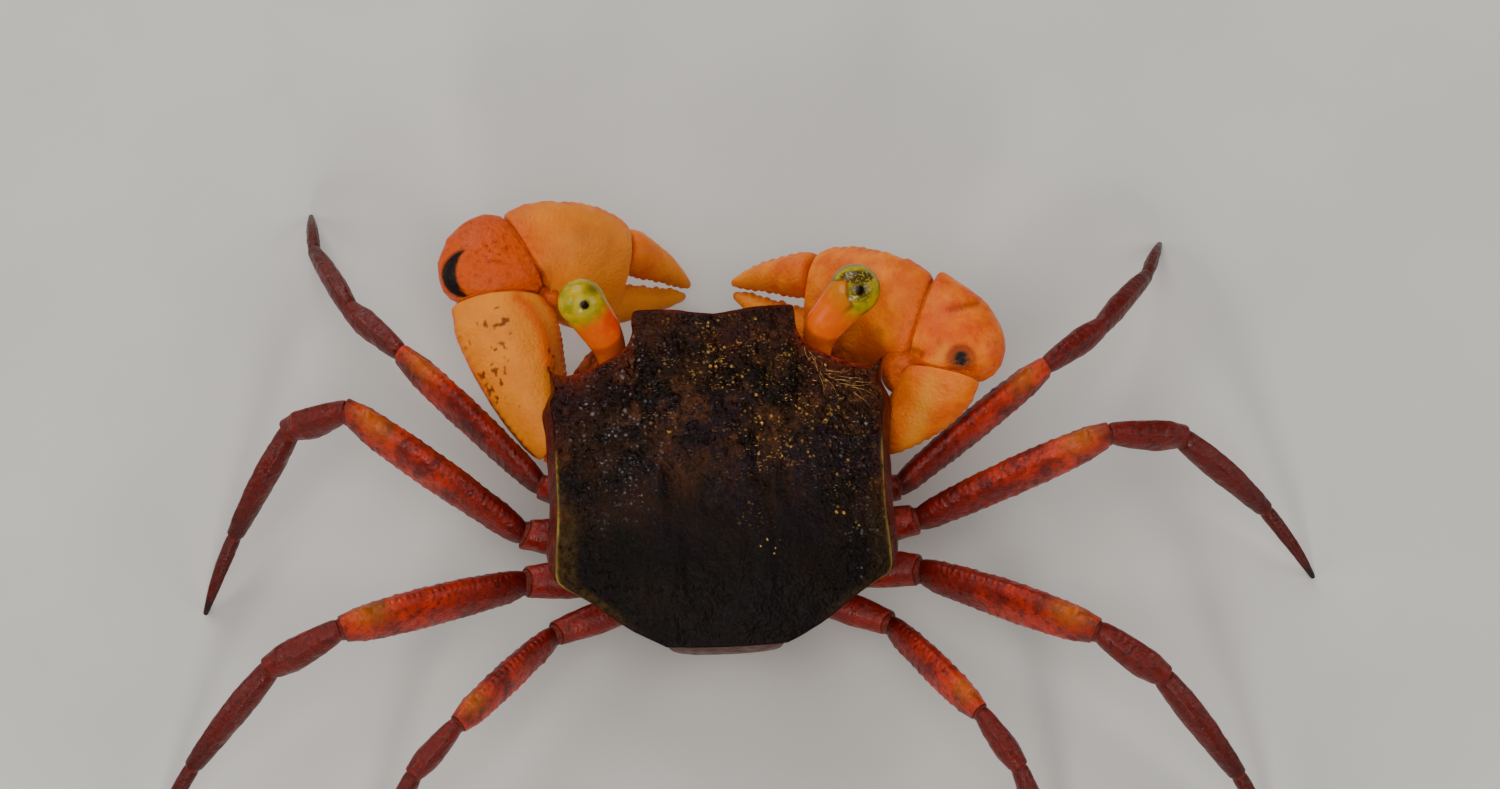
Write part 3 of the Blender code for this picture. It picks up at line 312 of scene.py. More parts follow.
def noise(points, cell, seed=0):
    """Smooth noise from -1 to 1 over points, with features about as large as the cell."""
    q = np.asarray(points, float) / cell + NOISE_SHIFT
    corner = np.floor(q).astype(np.int64)
    part = q - corner
    part = part * part * (3 - 2 * part)
    total = np.zeros(q.shape[:-1])
    for step in np.ndindex(2, 2, 2):
        at = corner + np.array(step)
        x, y, z = (at[..., k] * prime for k, prime in enumerate(HASH_PRIMES))
        code = x ^ y ^ z ^ (seed * HASH_STEP + HASH_START)
        code = ((code ^ (code >> 13)) * HASH_MIX) & 0xFFFFFFFF
        value = ((code ^ (code >> 16)) & 0xFFFF) / 32767.5 - 1
        share = np.where(np.array(step), part, 1 - part).prod(axis=-1)
        total += share * value
    return total


def body_to_world():
    lift = Matrix.Translation((0, TURNING_POINT.y, STERNUM_HEIGHT))
    return lift @ Matrix.Rotation(-PITCH, 4, "X") @ Matrix.Translation(-TURNING_POINT)


BODY = body_to_world()
BODY_BACK = BODY.inverted()
BODY_TURN = np.array(BODY.to_3x3())
BODY_SHIFT = np.array(BODY.translation)


def in_world(points):
    return np.asarray(points, float) @ BODY_TURN.T + BODY_SHIFT


# The camera

def camera_direction():
    """From the crab towards the camera."""
    azimuth, elevation = math.radians(CAMERA_AZIMUTH), math.radians(CAMERA_ELEVATION)
    return Vector((math.sin(azimuth) * math.cos(elevation), -math.cos(azimuth) * math.cos(elevation),
                   math.sin(elevation)))


def camera_turn():
    """The camera's directions to the right, up and back, as the columns of a matrix."""
    back = camera_direction()
    right = UP.cross(back).normalized()
    turn = Matrix((right, back.cross(right), back)).transposed()
    return turn @ Matrix.Rotation(math.radians(CAMERA_ROLL), 3, "Z")


def camera_place():
    """Where the camera stands, in world millimetres."""
    pixel = SENSOR / LENS * CAMERA_DISTANCE / PHOTO_WIDTH
    offset = Vector(((AIM_PIXEL[0] - PHOTO_WIDTH / 2) * pixel, -(AIM_PIXEL[1] - PHOTO_HEIGHT / 2) * pixel, 0))
    return Vector(AIM) + camera_direction() * CAMERA_DISTANCE - camera_turn() @ offset


def image_axes():
    """The picture's right and up and the way to the camera, in the body's frame."""
    return np.array(camera_turn()).T @ BODY_TURN


def in_picture(points):
    """Where points in world millimetres fall in the photograph, in its pixels."""
    x, y, depth = ((np.asarray(points) - np.array(camera_place())) @ np.array(camera_turn())).T
    scale = LENS / SENSOR * PHOTO_WIDTH
    return np.stack([PHOTO_WIDTH / 2 - x / depth * scale, PHOTO_HEIGHT / 2 + y / depth * scale], axis=-1)


def depth_inside(pixels, x, y, radius):
    """How far pixels lie inside a circle of the photograph, negative outside it."""
    return radius - np.hypot(pixels[:, 0] - x, pixels[:, 1] - y)


# Meshes

def grid_faces(rows, columns, wrapped=False):
    """Quads over a grid of points that is stored row by row."""
    last = columns if wrapped else columns - 1
    row, column = np.meshgrid(np.arange(rows - 1), np.arange(last), indexing="ij")
    row, column = row.ravel(), column.ravel()
    across = (column + 1) % columns
    a, b = row * columns + column, row * columns + across
    return np.stack([a, b, b + columns, a + columns], axis=1).tolist()


def ring_angles(sides):
    return 2 * math.pi * (np.arange(sides) + 0.5) / sides


def section(centre, wide, tall, sides, power=2, keel=0.0):
    """A ring round the centre, as a (sides, 3) array. At power 2 it is an ellipse, above it squarer."""
    angle = ring_angles(sides)
    across = np.sign(np.cos(angle)) * np.abs(np.cos(angle)) ** (2 / power)
    up = np.sign(np.sin(angle)) * np.abs(np.sin(angle)) ** (2 / power)
    wide, tall = np.array(wide), np.array(tall)
    return np.array(centre) + np.outer(across * (1 - keel * up), wide) + np.outer(up, tall)


def closed_tube(rings, tip=None):
    """Points and faces of a tube through rings of shape (rows, sides, 3), closed at both ends."""
    rows, sides, _ = rings.shape
    points = rings.reshape(-1, 3)
    ends = np.array([rings[0].mean(axis=0), rings[-1].mean(axis=0) if tip is None else tip])
    points = np.vstack([points, ends])
    faces = grid_faces(rows, sides, wrapped=True)
    first, last, top = rows * sides, rows * sides + 1, (rows - 1) * sides
    faces += [(first, (k + 1) % sides, k) for k in range(sides)]
    faces += [(last, top + k, top + (k + 1) % sides) for k in range(sides)]
    return points, faces


def capped(values):
    """The values of a closed tube's rings, and 0 for its two end points."""
    return np.append(values, (0, 0))


def volume(points, faces):
    """Six times the volume, positive where the faces point out."""
    fans = np.array([f[:3] for f in faces] + [(f[0], f[2], f[3]) for f in faces if len(f) == 4])
    a, b, c = (points[fans[:, k]] for k in range(3))
    return float(np.einsum("ij,ij->i", a, np.cross(b, c)).sum())


def build_mesh(name, points, faces):
    """A smooth mesh from points in world millimetres, its faces pointing out."""
    points = np.asarray(points, float)
    centred = points - points.mean(axis=0)
    if volume(centred, faces) < 0:
        faces = [tuple(reversed(f)) for f in faces]
    mesh = bpy.data.meshes.new(name)
    mesh.from_pydata(((points - np.array(FEET_MIDDLE)) * MM).tolist(), [], faces)
    mesh.shade_smooth()
    return mesh


def raise_surface(mesh, heights, along=None):
    """Moves each point along its normal by its height in millimetres, and by a vector if given."""
    count = len(mesh.vertices)
    normals, places = np.empty(count * 3), np.empty(count * 3)
    mesh.vertex_normals.foreach_get("vector", normals)
    mesh.vertices.foreach_get("co", places)
    moved = places.reshape(-1, 3) + normals.reshape(-1, 3) * (np.asarray(heights)[:, None] * MM)
    if along is not None:
        moved += along * MM
    mesh.vertices.foreach_set("co", moved.ravel())
    mesh.update()


def paint(mesh, **masks):
    """Stores numbers from 0 to 1 on the points, for the material to read."""
    for name, values in masks.items():
        layer = mesh.attributes.new(name, "FLOAT", "POINT")
        layer.data.foreach_set("value", np.clip(np.asarray(values, float), 0, 1))


def add_piece(mesh, material, nodes=()):
    """Shows a mesh as a piece of the crab that may stand for CAD nodes."""
    mesh.materials.append(material)
    piece = bpy.data.objects.new(mesh.name, mesh)
    bpy.context.collection.objects.link(piece)
    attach(piece, "root")
    if nodes:
        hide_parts(*nodes)


def nearest_spot(points, spots):
    """For each point, the number of the nearest spot and the distance to it."""
    tree = KDTree(len(spots))
    for k, spot in enumerate(spots):
        tree.insert(spot, k)
    tree.balance()
    found = [tree.find(p)[1:] for p in points]
    return np.array([f[0] for f in found]), np.array([f[1] for f in found])


def dome(distance, radius):
    """A low round bump of height 1."""
    return np.clip(1 - (distance / radius) ** 2, 0, 1) ** 1.5


# Materials

class Look:
    """One Principled material and the nodes that feed it. Sizes are in millimetres."""

    def __init__(self, name, coat=0.0, **settings):
        self.material = bpy.data.materials.new(name)
        self.material.use_nodes = True
        self.tree = self.material.node_tree
        self.shader = self.tree.nodes["Principled BSDF"]
        self.place = self.tree.nodes.new("ShaderNodeTexCoord").outputs["Object"]
        self.shader.inputs["Coat Weight"].default_value = coat
        self.shader.inputs["Coat Roughness"].default_value = 0.12
        for socket, value in settings.items():
            self.shader.inputs[socket.replace("_", " ")].default_value = value

    def wire(self, value, socket):
        if isinstance(value, bpy.types.NodeSocket):
            self.tree.links.new(value, socket)
        else:
            socket.default_value = value

    def mask(self, name):
        node = self.tree.nodes.new("ShaderNodeAttribute")
        node.attribute_name = name
        return node.outputs["Fac"]

    def cloud(self, size, detail=3.0, low=0.35, high=0.65, stretch=(1, 1, 1)):
        """Noise with patches of that size, its values from low to high spread over 0 to 1."""
        mapping = self.tree.nodes.new("ShaderNodeMapping")
        mapping.inputs["Scale"].default_value = stretch
        self.tree.links.new(self.place, mapping.inputs["Vector"])
        node = self.tree.nodes.new("ShaderNodeTexNoise")
        self.tree.links.new(mapping.outputs["Vector"], node.inputs["Vector"])
        node.inputs["Scale"].default_value = 1 / (size * MM)
        node.inputs["Detail"].default_value = detail
        return self.spread(node.outputs["Fac"], low, high)

    def cells(self, size):
        node = self.tree.nodes.new("ShaderNodeTexVoronoi")
        self.tree.links.new(self.place, node.inputs["Vector"])
        node.inputs["Scale"].default_value = 1 / (size * MM)
        return node.outputs["Distance"]

    def granules(self, size):
        """Round grains about that large: their distance from the middle, and a chance for each grain."""
        distance = self.cells(size)
        chance = self.tree.nodes.new("ShaderNodeSeparateColor")
        self.tree.links.new(distance.node.outputs["Color"], chance.inputs["Color"])
        return distance, chance.outputs["Red"]

    def spread(self, value, low, high):
        node = self.tree.nodes.new("ShaderNodeMapRange")
        node.inputs["From Min"].default_value = low
        node.inputs["From Max"].default_value = high
        self.tree.links.new(value, node.inputs["Value"])
        return node.outputs["Result"]

    def times(self, first, second):
        return self.reckon("MULTIPLY", first, second)

    def reckon(self, operation, first, second):
        node = self.tree.nodes.new("ShaderNodeMath")
        node.operation = operation
        self.wire(first, node.inputs[0])
        self.wire(second, node.inputs[1])
        return node.outputs["Value"]

    def blend(self, share, first, second):
        """A colour, from the first to the second by the share."""
        node = self.tree.nodes.new("ShaderNodeMix")
        node.data_type = "RGBA"
        self.wire(share, node.inputs["Factor"])
        for value, socket in ((first, node.inputs[6]), (second, node.inputs[7])):
            self.wire(value if isinstance(value, bpy.types.NodeSocket) else (*value, 1), socket)
        return node.outputs[2]

    def painted(self, colour, **tones):
        """The colour with each tone laid over it in turn, where the mask of that name asks for it."""
        for name, tone in tones.items():
            colour = self.blend(self.mask(name), colour, tone)
        return colour

    def set_colour(self, colour):
        self.wire(colour, self.shader.inputs["Base Color"])

    def set_roughness(self, value, low, high):
        node = self.tree.nodes.new("ShaderNodeMapRange")
        node.inputs["To Min"].default_value = low
        node.inputs["To Max"].default_value = high
        self.tree.links.new(value, node.inputs["Value"])
        self.tree.links.new(node.outputs["Result"], self.shader.inputs["Roughness"])

    def set_metal(self, value):
        self.tree.links.new(value, self.shader.inputs["Metallic"])

    def set_bumps(self, *layers):
        """Bumps from (height, depth in millimetres) layers, one on the other."""
        below = None
        for height, depth in layers:
            node = self.tree.nodes.new("ShaderNodeBump")
            node.inputs["Distance"].default_value = depth * MM
            self.tree.links.new(height, node.inputs["Height"])
            if below:
                self.tree.links.new(below, node.inputs["Normal"])
            below = node.outputs["Normal"]
        self.tree.links.new(below, self.shader.inputs["Normal"])


def shell_look():
    """Dark wet shell: brown and purple patches, coloured zones and margins, painted light and shade on the
    relief, and painted glints on grains that also shine.
    """
    look = Look("wet_dark_shell", Specular_IOR_Level=0.08)
    patches = look.cloud(1.5, low=0.42, high=0.60)
    colour = look.blend(patches, (0.0034, 0.0019, 0.0012), (0.0210, 0.0072, 0.0028))
    colour = look.blend(look.cloud(2.4, low=0.49, high=0.60), colour, (0.0100, 0.0042, 0.0062))
    colour = look.blend(look.times(look.cloud(0.14, low=0.58, high=0.76), 0.6), colour, (0.060, 0.024, 0.009))
    # Painted light: the tops of the lumps are coloured a lighter brown, as light falling on them
    lit_lump_tops = look.times(look.mask("lump_top_light"), look.cloud(0.3, low=0.35, high=0.6))
    colour = look.painted(
        look.blend(lit_lump_tops, colour, (0.070, 0.0230, 0.0080)),
        hind=(0.0026, 0.0014, 0.0009),
        # painted shade in the hollows of the relief
        hollow=(0.0016, 0.0008, 0.0007),
        facet=look.blend(look.cloud(0.25), (0.016, 0.0075, 0.0018), (0.052, 0.026, 0.0055)),
        flank=look.blend(look.cloud(0.5), (0.040, 0.0030, 0.0015), (0.11, 0.0095, 0.003)),
        cheek=look.blend(look.cloud(0.35), (0.10, 0.012, 0.003), (0.24, 0.045, 0.008)),
        rust=(0.095, 0.014, 0.004),
    )
    # Painted glints: gold and pale colour on grain tops and streaks, which also shine as metal
    distance, chance = look.granules(0.20)
    tops = look.times(look.spread(distance, 0.38, 0.20), look.spread(chance, 0.55, 1.0))
    streaks = look.cloud(0.12, detail=2.0, low=0.63, high=0.69, stretch=(1, 2.2, 1))
    tops = look.reckon("MAXIMUM", tops, streaks)
    # Painted silver glints, and painted pale glints on the granules of the mesh
    silver_glints = look.times(look.times(tops, look.mask("silver_glints")), look.cloud(0.6, low=0.44, high=0.58))
    golden = look.times(look.times(tops, look.mask("gold_glint_zone")), look.cloud(0.5, low=0.42, high=0.62))
    colour = look.blend(silver_glints, colour, (0.19, 0.18, 0.20))
    colour = look.painted(look.blend(golden, colour, (0.68, 0.36, 0.090)), pale=(0.22, 0.20, 0.21))
    # Painted gold glints on the granules of the mesh
    glints = look.times(look.mask("gold_glint"), look.cloud(0.055, detail=2.0, low=0.40, high=0.54))
    colour = look.blend(glints, colour, (0.74, 0.40, 0.080))
    look.set_colour(look.painted(colour, red_rim=(0.24, 0.016, 0.002), pale_rim=(0.38, 0.24, 0.045)))
    shine = look.reckon("MAXIMUM", silver_glints, golden)
    look.set_metal(look.times(shine, 0.7))
    look.set_roughness(shine, 0.40, 0.14)
    grains = look.times(look.spread(distance, 0.50, 0.08), look.mask("grain"))
    wrinkles = look.times(look.cloud(0.40, detail=1.5), look.mask("grain"))
    look.set_bumps((wrinkles, 0.13), (grains, 0.085), (look.cloud(0.13), 0.016))
    return look.material


def limb_look(name, pale, deep, dark, specular=0.26, **settings):
    """Shell of a limb: pale and deep patches, and other colours where the masks ask for them."""
    look = Look(name, Specular_IOR_Level=specular, **settings)
    colour = look.painted(look.blend(look.cloud(0.9, low=0.38, high=0.64), deep, pale), deep=deep)
    mottle = look.times(look.cloud(0.22, low=0.50, high=0.70), look.mask("mottle"))
    look.set_colour(look.painted(look.blend(mottle, colour, dark), cream=(0.70, 0.240, 0.014),
                                 speck=(0.13, 0.022, 0.004), dark=dark, black=(0.006, 0.002, 0.001)))
    look.set_roughness(look.cloud(0.4), 0.30, 0.50)
    look.set_bumps((look.cells(0.11), 0.010), (look.cloud(0.14), 0.014))
    return look.material


def plain_look(name, first, second, size=0.4, bump=0.015, roughness=(0.32, 0.5), **settings):
    look = Look(name, **settings)
    look.set_colour(look.blend(look.cloud(size), first, second))
    look.set_roughness(look.cloud(size / 2), *roughness)
    look.set_bumps((look.cloud(size / 3), bump))
    return look.material


def eye_look():
    """Lime cornea with its marks, and the orange skin of the stalk."""
    look = Look("eye", coat=0.12, Subsurface_Weight=0.10, Subsurface_Scale=0.0003, Specular_IOR_Level=0.14)
    lime = look.blend(look.cloud(0.35, low=0.4, high=0.62), (0.25, 0.220, 0.001), (0.47, 0.31, 0.001))
    spots = look.blend(look.cloud(0.085, low=0.52, high=0.62), (0.030, 0.016, 0.003), (0.26, 0.20, 0.045))
    for name, share, tone in (
        ("halo", 0.55, (0.44, 0.34, 0.035)), ("band", 0.8, (0.060, 0.050, 0.003)), ("patch", 0.92, spots),
    ):
        lime = look.blend(look.times(look.mask(name), share), lime, tone)
    lime = look.painted(lime, pupil=(0.008, 0.0025, 0.0008))
    stalk = look.painted((0.68, 0.100, 0.001), base=(0.52, 0.135, 0.003), ruddy=(0.66, 0.040, 0.001))
    stalk = look.blend(look.times(look.mask("film"), 0.75), stalk, (0.42, 0.170, 0.003))
    stalk = look.blend(look.times(look.cloud(0.3, low=0.5, high=0.7), 0.30), stalk, (0.74, 0.22, 0.010))
    look.set_colour(look.painted(lime, stalk=stalk, line=(0.06, 0.015, 0.002)))
    look.set_roughness(look.cloud(0.3), 0.07, 0.14)
    look.set_bumps((look.cells(0.045), 0.004))
    return look.material


# Carapace

def back_height(x, y):
    values = spline(BACK, y)
    height = values[..., 0] - values[..., 1] * np.abs(2 * x / CARAPACE_WIDTH) ** 2.7
    return height + swell(x, y, SWELLINGS)


def swell(x, y, swellings):
    total = np.zeros_like(x)
    for cx, cy, across, along, rise in swellings:
        total += rise * np.exp(-(((np.abs(x) - cx) / across) ** 2) - ((y - cy) / along) ** 2)
    return total


def front_points(s):
    edge = spline(FRONT_EDGE, np.abs(s)) * CARAPACE_WIDTH
    return np.stack([np.where(s >= 0, 1, -1) * edge[..., 0], edge[..., 1]], axis=-1)


def side_points(t, side):
    return spline(SIDE_EDGE, t) * CARAPACE_WIDTH * np.array((side, 1))


def rear_points(s):
    _, x, y = SIDE_EDGE[-1]
    return np.stack([s * x, mix(REAR_Y, y, s * s)], axis=-1) * CARAPACE_WIDTH


def back_points(s, t):
    """Points of the back: s from -1 to 1 across, t from 0 at the front to 1 at the hind margin."""
    s, t = np.broadcast_arrays(np.asarray(s, float), np.asarray(t, float))
    across, down = ((s + 1) / 2)[..., None], t[..., None]
    front_ends = [front_points(np.array(float(k))) for k in (-1, 1)]
    rear_ends = [rear_points(np.array(float(k))) for k in (-1, 1)]
    corners = mix(mix(*front_ends, across), mix(*rear_ends, across), down)
    plan = mix(front_points(s), rear_points(s), down)
    plan = plan + mix(side_points(t, RIGHT), side_points(t, LEFT), across) - corners
    return np.concatenate([plan, back_height(plan[..., 0], plan[..., 1])[..., None]], axis=-1)


def thorax_at(y):
    return straight(THORAX, y)


def rim_sides(t):
    """The lower rim on the left, t along the side as on the back."""
    step = np.clip(t / RIM_STEP_SHARE, 0, 1)
    rows = np.array(RIM_STEP)
    step_y, step_z = np.interp(step * 2, rows[:, 0], rows[:, 1]), np.interp(step * 2, rows[:, 0], rows[:, 2])
    step_x = mix(RIM_FRONT_HALF, thorax_at(step_y)[..., 0] + RIM_OVERHANG + 0.3, step)
    share = np.clip((t - RIM_STEP_SHARE) / (1 - RIM_STEP_SHARE), 0, 1)
    y = mix(RIM_STEP[2][1], REAR_RIM[0], share)
    z = mix(RIM_HEIGHT, REAR_RIM[1], ease((share - 0.7) / 0.3))
    x = thorax_at(y)[..., 0] + RIM_OVERHANG - RIM_CORNER * ease((share - 0.75) / 0.25)
    early = t <= RIM_STEP_SHARE
    return np.stack([np.where(early, a, b) for a, b in ((step_x, x), (step_y, y), (step_z, z))], axis=-1)


def face_ring(s, level):
    edge = front_points(s)
    place = np.abs(s)
    tooth = ease((place - ORBIT_END) / FACE_BLEND)
    orbit = ease((place - PLATE_END) / FACE_BLEND) * (1 - tooth)
    plate = 1 - orbit - tooth
    rows = (PLATE_RINGS[level], ORBIT_RINGS[level], TOOTH_RINGS[level])
    offset, share, z, pull = (plate * a + orbit * b + tooth * c for a, b, c in zip(*rows))
    shown = ease((place - MARGIN_START) / FACE_BLEND) * (1 - ease((place - MARGIN_END) / MARGIN_BLEND))
    x = mix(edge[..., 0], s * RIM_FRONT_HALF, pull)
    return np.stack([x, offset - LOWER_MARGIN[level] * shown + share * edge[..., 1], z], axis=-1)


def flank_ring(t, level):
    edge, rim = back_points(1.0, t), rim_sides(t)
    bulge, drop = FLANK_RINGS[level]
    fullness = 1 - ease((t - 0.60) / 0.20)
    x = mix(edge[..., 0] + bulge * fullness, rim[..., 0], ease((drop - 0.5) / 0.5))
    y, z = mix(edge[..., 1], rim[..., 1], ease(drop)), mix(edge[..., 2], rim[..., 2], drop)
    return mix(face_ring(np.array(1.0), level), np.stack([x, y, z], axis=-1), ease(t / FACE_SHARE)[..., None])


def rear_ring(s, level):
    edge = back_points(s, 1.0)
    drop = FLANK_RINGS[level][1]
    corner = rim_sides(np.array(1.0))
    rim = np.stack([s * corner[0], np.full_like(s, REAR_RIM[0]), np.full_like(s, REAR_RIM[1])], axis=-1)
    point = mix(edge, rim, drop)
    point[..., 1] = mix(edge[..., 1], rim[..., 1], ease(1.6 * drop))
    return point


def skirt_rings():
    """The carapace below its edge, from the edge down, each ring in the order front, left, rear, right."""
    across = np.linspace(-1, 1, BACK_COLUMNS + 1)
    down = np.linspace(0, 1, BACK_ROWS + 1)
    mirror = np.array((-1, 1, 1))

    def ring(front, side, rear):
        return np.concatenate([front(across[:-1]), side(down[:-1]), rear(across[:0:-1]),
                               side(down[:0:-1]) * mirror])

    rings = [
        ring(lambda s: back_points(s, 0.0), lambda t: back_points(1.0, t), lambda s: back_points(s, 1.0)),
    ]
    for k in range(len(FLANK_RINGS)):
        rings.append(ring(lambda s: face_ring(s, k), lambda t: flank_ring(t, k), lambda s: rear_ring(s, k)))
    stops = [(k, *rings[k].ravel()) for k in range(len(rings))]
    levels = np.linspace(0, len(rings) - 1, FLANK_LEVELS + 1)
    return spline(stops, levels).reshape(len(levels), -1, 3), levels / levels[-1]


def edge_order():
    """Numbers of the back's edge points, in the order of the rings below."""
    columns, rows = BACK_COLUMNS, BACK_ROWS
    number = np.arange((rows + 1) * (columns + 1)).reshape(rows + 1, columns + 1)
    return np.concatenate([number[0, :-1], number[:-1, -1], number[-1, :0:-1], number[:0:-1, 0]])


def carapace_faces(start, ring_size):
    """Faces of the back, of the skirt below it and of the floor between the lower rims."""
    columns, rows = BACK_COLUMNS, BACK_ROWS
    faces = grid_faces(rows + 1, columns + 1)
    above = edge_order()
    for level in range(FLANK_LEVELS):
        below = start + level * ring_size + np.arange(ring_size)
        faces += np.stack([above, np.roll(above, -1), np.roll(below, -1), below], axis=1).tolist()
        above = below
    left = above[columns:columns + rows]
    right = np.concatenate([above[:1], above[:-rows:-1]])
    middle = start + FLANK_LEVELS * ring_size + np.arange(rows) - 1  # the first is never used
    for j in range(1, rows - 1):
        faces.append((left[j], left[j + 1], middle[j + 1], middle[j]))
        faces.append((middle[j], middle[j + 1], right[j + 1], right[j]))
    front = [right[1], *above[:columns + 1], left[1]]
    rear = [left[rows - 1], *above[columns + rows:columns + rows + columns + 1], right[rows - 1]]
    faces += [(a, b, middle[1]) for a, b in zip(front, front[1:])]
    faces += [(a, b, middle[rows - 1]) for a, b in zip(rear, rear[1:])]
    return faces, left, right


# Where gold and silver glints are painted on the back: (x, y, radius across, radius along, strength)
GOLD_ZONES = (
    (-3.5, 1.0, 2.3, 1.7, 1.0), (0.0, -0.4, 2.0, 1.5, 0.8), (-1.4, 3.4, 1.3, 0.9, 0.9),
    (2.2, 1.9, 0.5, 0.4, 0.8), (-1.2, 5.9, 0.5, 0.4, 0.7), (-4.4, 4.6, 0.9, 0.6, 0.5),
    (0.4, 0.9, 1.1, 0.7, 0.4),
)
SILVER_ZONES = (
    (4.0, 1.7, 1.4, 1.7, 1.0), (2.6, -0.4, 1.4, 0.9, 0.6), (-4.9, 5.6, 0.9, 1.2, 0.7),
    (2.2, 3.0, 1.5, 1.2, 0.35), (3.6, 4.6, 1.3, 1.3, 0.5), (-4.6, 2.6, 1.0, 1.2, 0.5),
)

# Bright wet glints, painted on the granules where they show in the photograph, in its pixels: (x, y, radius)
GOLD_GLINTS = (
    (719, 367, 8), (670, 428, 7), (762, 419, 9), (788, 355, 7), (812, 453, 8), (775, 453, 10), (839, 511, 8),
    (771, 548, 13), (706, 324, 6), (754, 320, 7), (686, 552, 5), (861, 522, 6), (830, 415, 12),
)
SILVER_GLINTS = (
    (605, 462, 9), (625, 412, 8), (611, 432, 8), (567, 441, 8), (638, 363, 6), (758, 518, 4), (861, 572, 6),
    (600, 520, 10), (652, 470, 8), (585, 405, 7),
)
GLINT_EDGE = 3  # pixels over which a cluster of glints fades

GRANULE_FIELD = ((-6.2, 6.2), (-2.2, 10.3))  # in x and in y
GRANULE_SPACING, GRANULE_SCATTER = 0.225, 0.16
GRANULE_RADII, GRANULE_HEIGHTS = (0.040, 0.120), (0.010, 0.085)
GOLD_SHARE, PALE_SHARE = 0.14, 0.16  # of the granules in the heart of a zone

STRIAE = tuple(  # short oblique ridges: (y at the edge, length inwards, fall towards the tail)
    (1.3 + 0.62 * k, 2.3 - 0.26 * k, 0.22 + 0.035 * k) for k in range(6)
)
STRIA_START = 5.9  # distance from the middle line at which the ridges begin

BACK_LENGTH = 10.6
MARGINS = {"side": 0.07, "front": 0.075, "rear": 0.16}  # width of each rolled margin
NET_SPACING = (0.34, 0.30)


def near_glints(pixels, glints):
    """1 inside the glints, in the photograph's pixels, and 0 outside."""
    depth = np.maximum.reduce([depth_inside(pixels, *glint) for glint in glints])
    return ease(depth / GLINT_EDGE)


def in_zones(x, y, zones):
    """How deep places in plan lie in the zones, from 0 to 1."""
    humps = (
        strength * hump(np.hypot((x - cx) / wide, (y - cy) / long), 1.0)
        for cx, cy, wide, long, strength in zones
    )
    return np.clip(sum(humps), 0, 1)


def granule_spots(random):
    """Granules of the back: places in plan with their radius, height and the strengths of their painted gold
    and pale glints.
    """
    x, y = np.meshgrid(*(np.arange(*ends, GRANULE_SPACING) for ends in GRANULE_FIELD))
    x, y = (
        values.ravel() + random.uniform(-GRANULE_SCATTER, GRANULE_SCATTER, values.size) for values in (x, y)
    )
    flat = np.stack([x, y, y * 0], axis=-1)
    front = 1 - ease((y - 0.5) / 6.0)
    flank = ease((np.abs(x) - 2.2) / 2.4)
    rough = np.clip(0.22 + 0.65 * front + 0.35 * flank, 0, 1)
    patchy = noise(flat, 1.1, 3) * 0.5 + 0.5
    cluster = ease((noise(flat, 0.62, 5) + 0.05) / 0.35)
    keep = random.uniform(0, 1, x.shape) < 0.30 + 0.6 * rough * (0.4 + patchy)
    x, y, rough, cluster = x[keep], y[keep], rough[keep], cluster[keep]
    radius = mix(*GRANULE_RADII, rough * random.uniform(0.15, 1.0, x.shape))
    height = mix(*GRANULE_HEIGHTS, rough * random.uniform(0.2, 1.0, x.shape))
    # Painted glints: some granules get a gold or a pale glint, more of them deep in the zones
    draw = random.uniform(0, 1, x.shape)
    gold_glint = (draw < GOLD_SHARE * in_zones(x, y, GOLD_ZONES) * cluster) * random.uniform(0.25, 1.0, x.shape)
    pale = (draw > 1 - PALE_SHARE * in_zones(x, y, SILVER_ZONES)) * random.uniform(0.15, 0.7, x.shape)
    # Granules inside the glint clusters get stronger painted glints
    pixels = in_picture(in_world(np.stack([x, y, back_height(x, y)], axis=-1)))
    strength = random.uniform(0.3, 1.3, x.shape)
    gold_glint = np.maximum(gold_glint, near_glints(pixels, GOLD_GLINTS) * strength)
    pale = np.maximum(pale, near_glints(pixels, SILVER_GLINTS) * strength * 0.9)
    return np.stack([x, y], axis=-1), radius, height, gold_glint, pale


def stria_height(x, y):
    """The short oblique ridges that run in from the side margins."""
    wave = 0.06 * np.sin(x * 5.0 + y)
    inwards = STRIA_START - np.abs(x)
    total = np.zeros_like(x)
    for start, length, fall in STRIAE:
        within = ease(inwards / 0.2) * (1 - ease((inwards - length + 0.7) / 0.7))
        step = y - (start + fall * inwards + wave)
        total += within * np.where(step < 0, hump(step, 0.10), hump(step, 0.045))
    return total


def lumps_along(share):
    """Uneven lobes along the frontal plate's lower margin."""
    return np.abs(np.sin(share * math.pi * 23 + 1.3 * np.sin(share * 17))) ** 0.8


def reticulate(points):
    """The fine net of granules on the cheeks, in oblique rows."""
    u = points[:, 2] * 0.8 + points[:, 0] * 0.35 + points[:, 1] * 0.4
    v = points[:, 0] * 0.7 - points[:, 1] * 0.7
    return (np.sin(u * 2 * math.pi / NET_SPACING[0]) * np.sin(v * 2 * math.pi / NET_SPACING[1])) ** 2


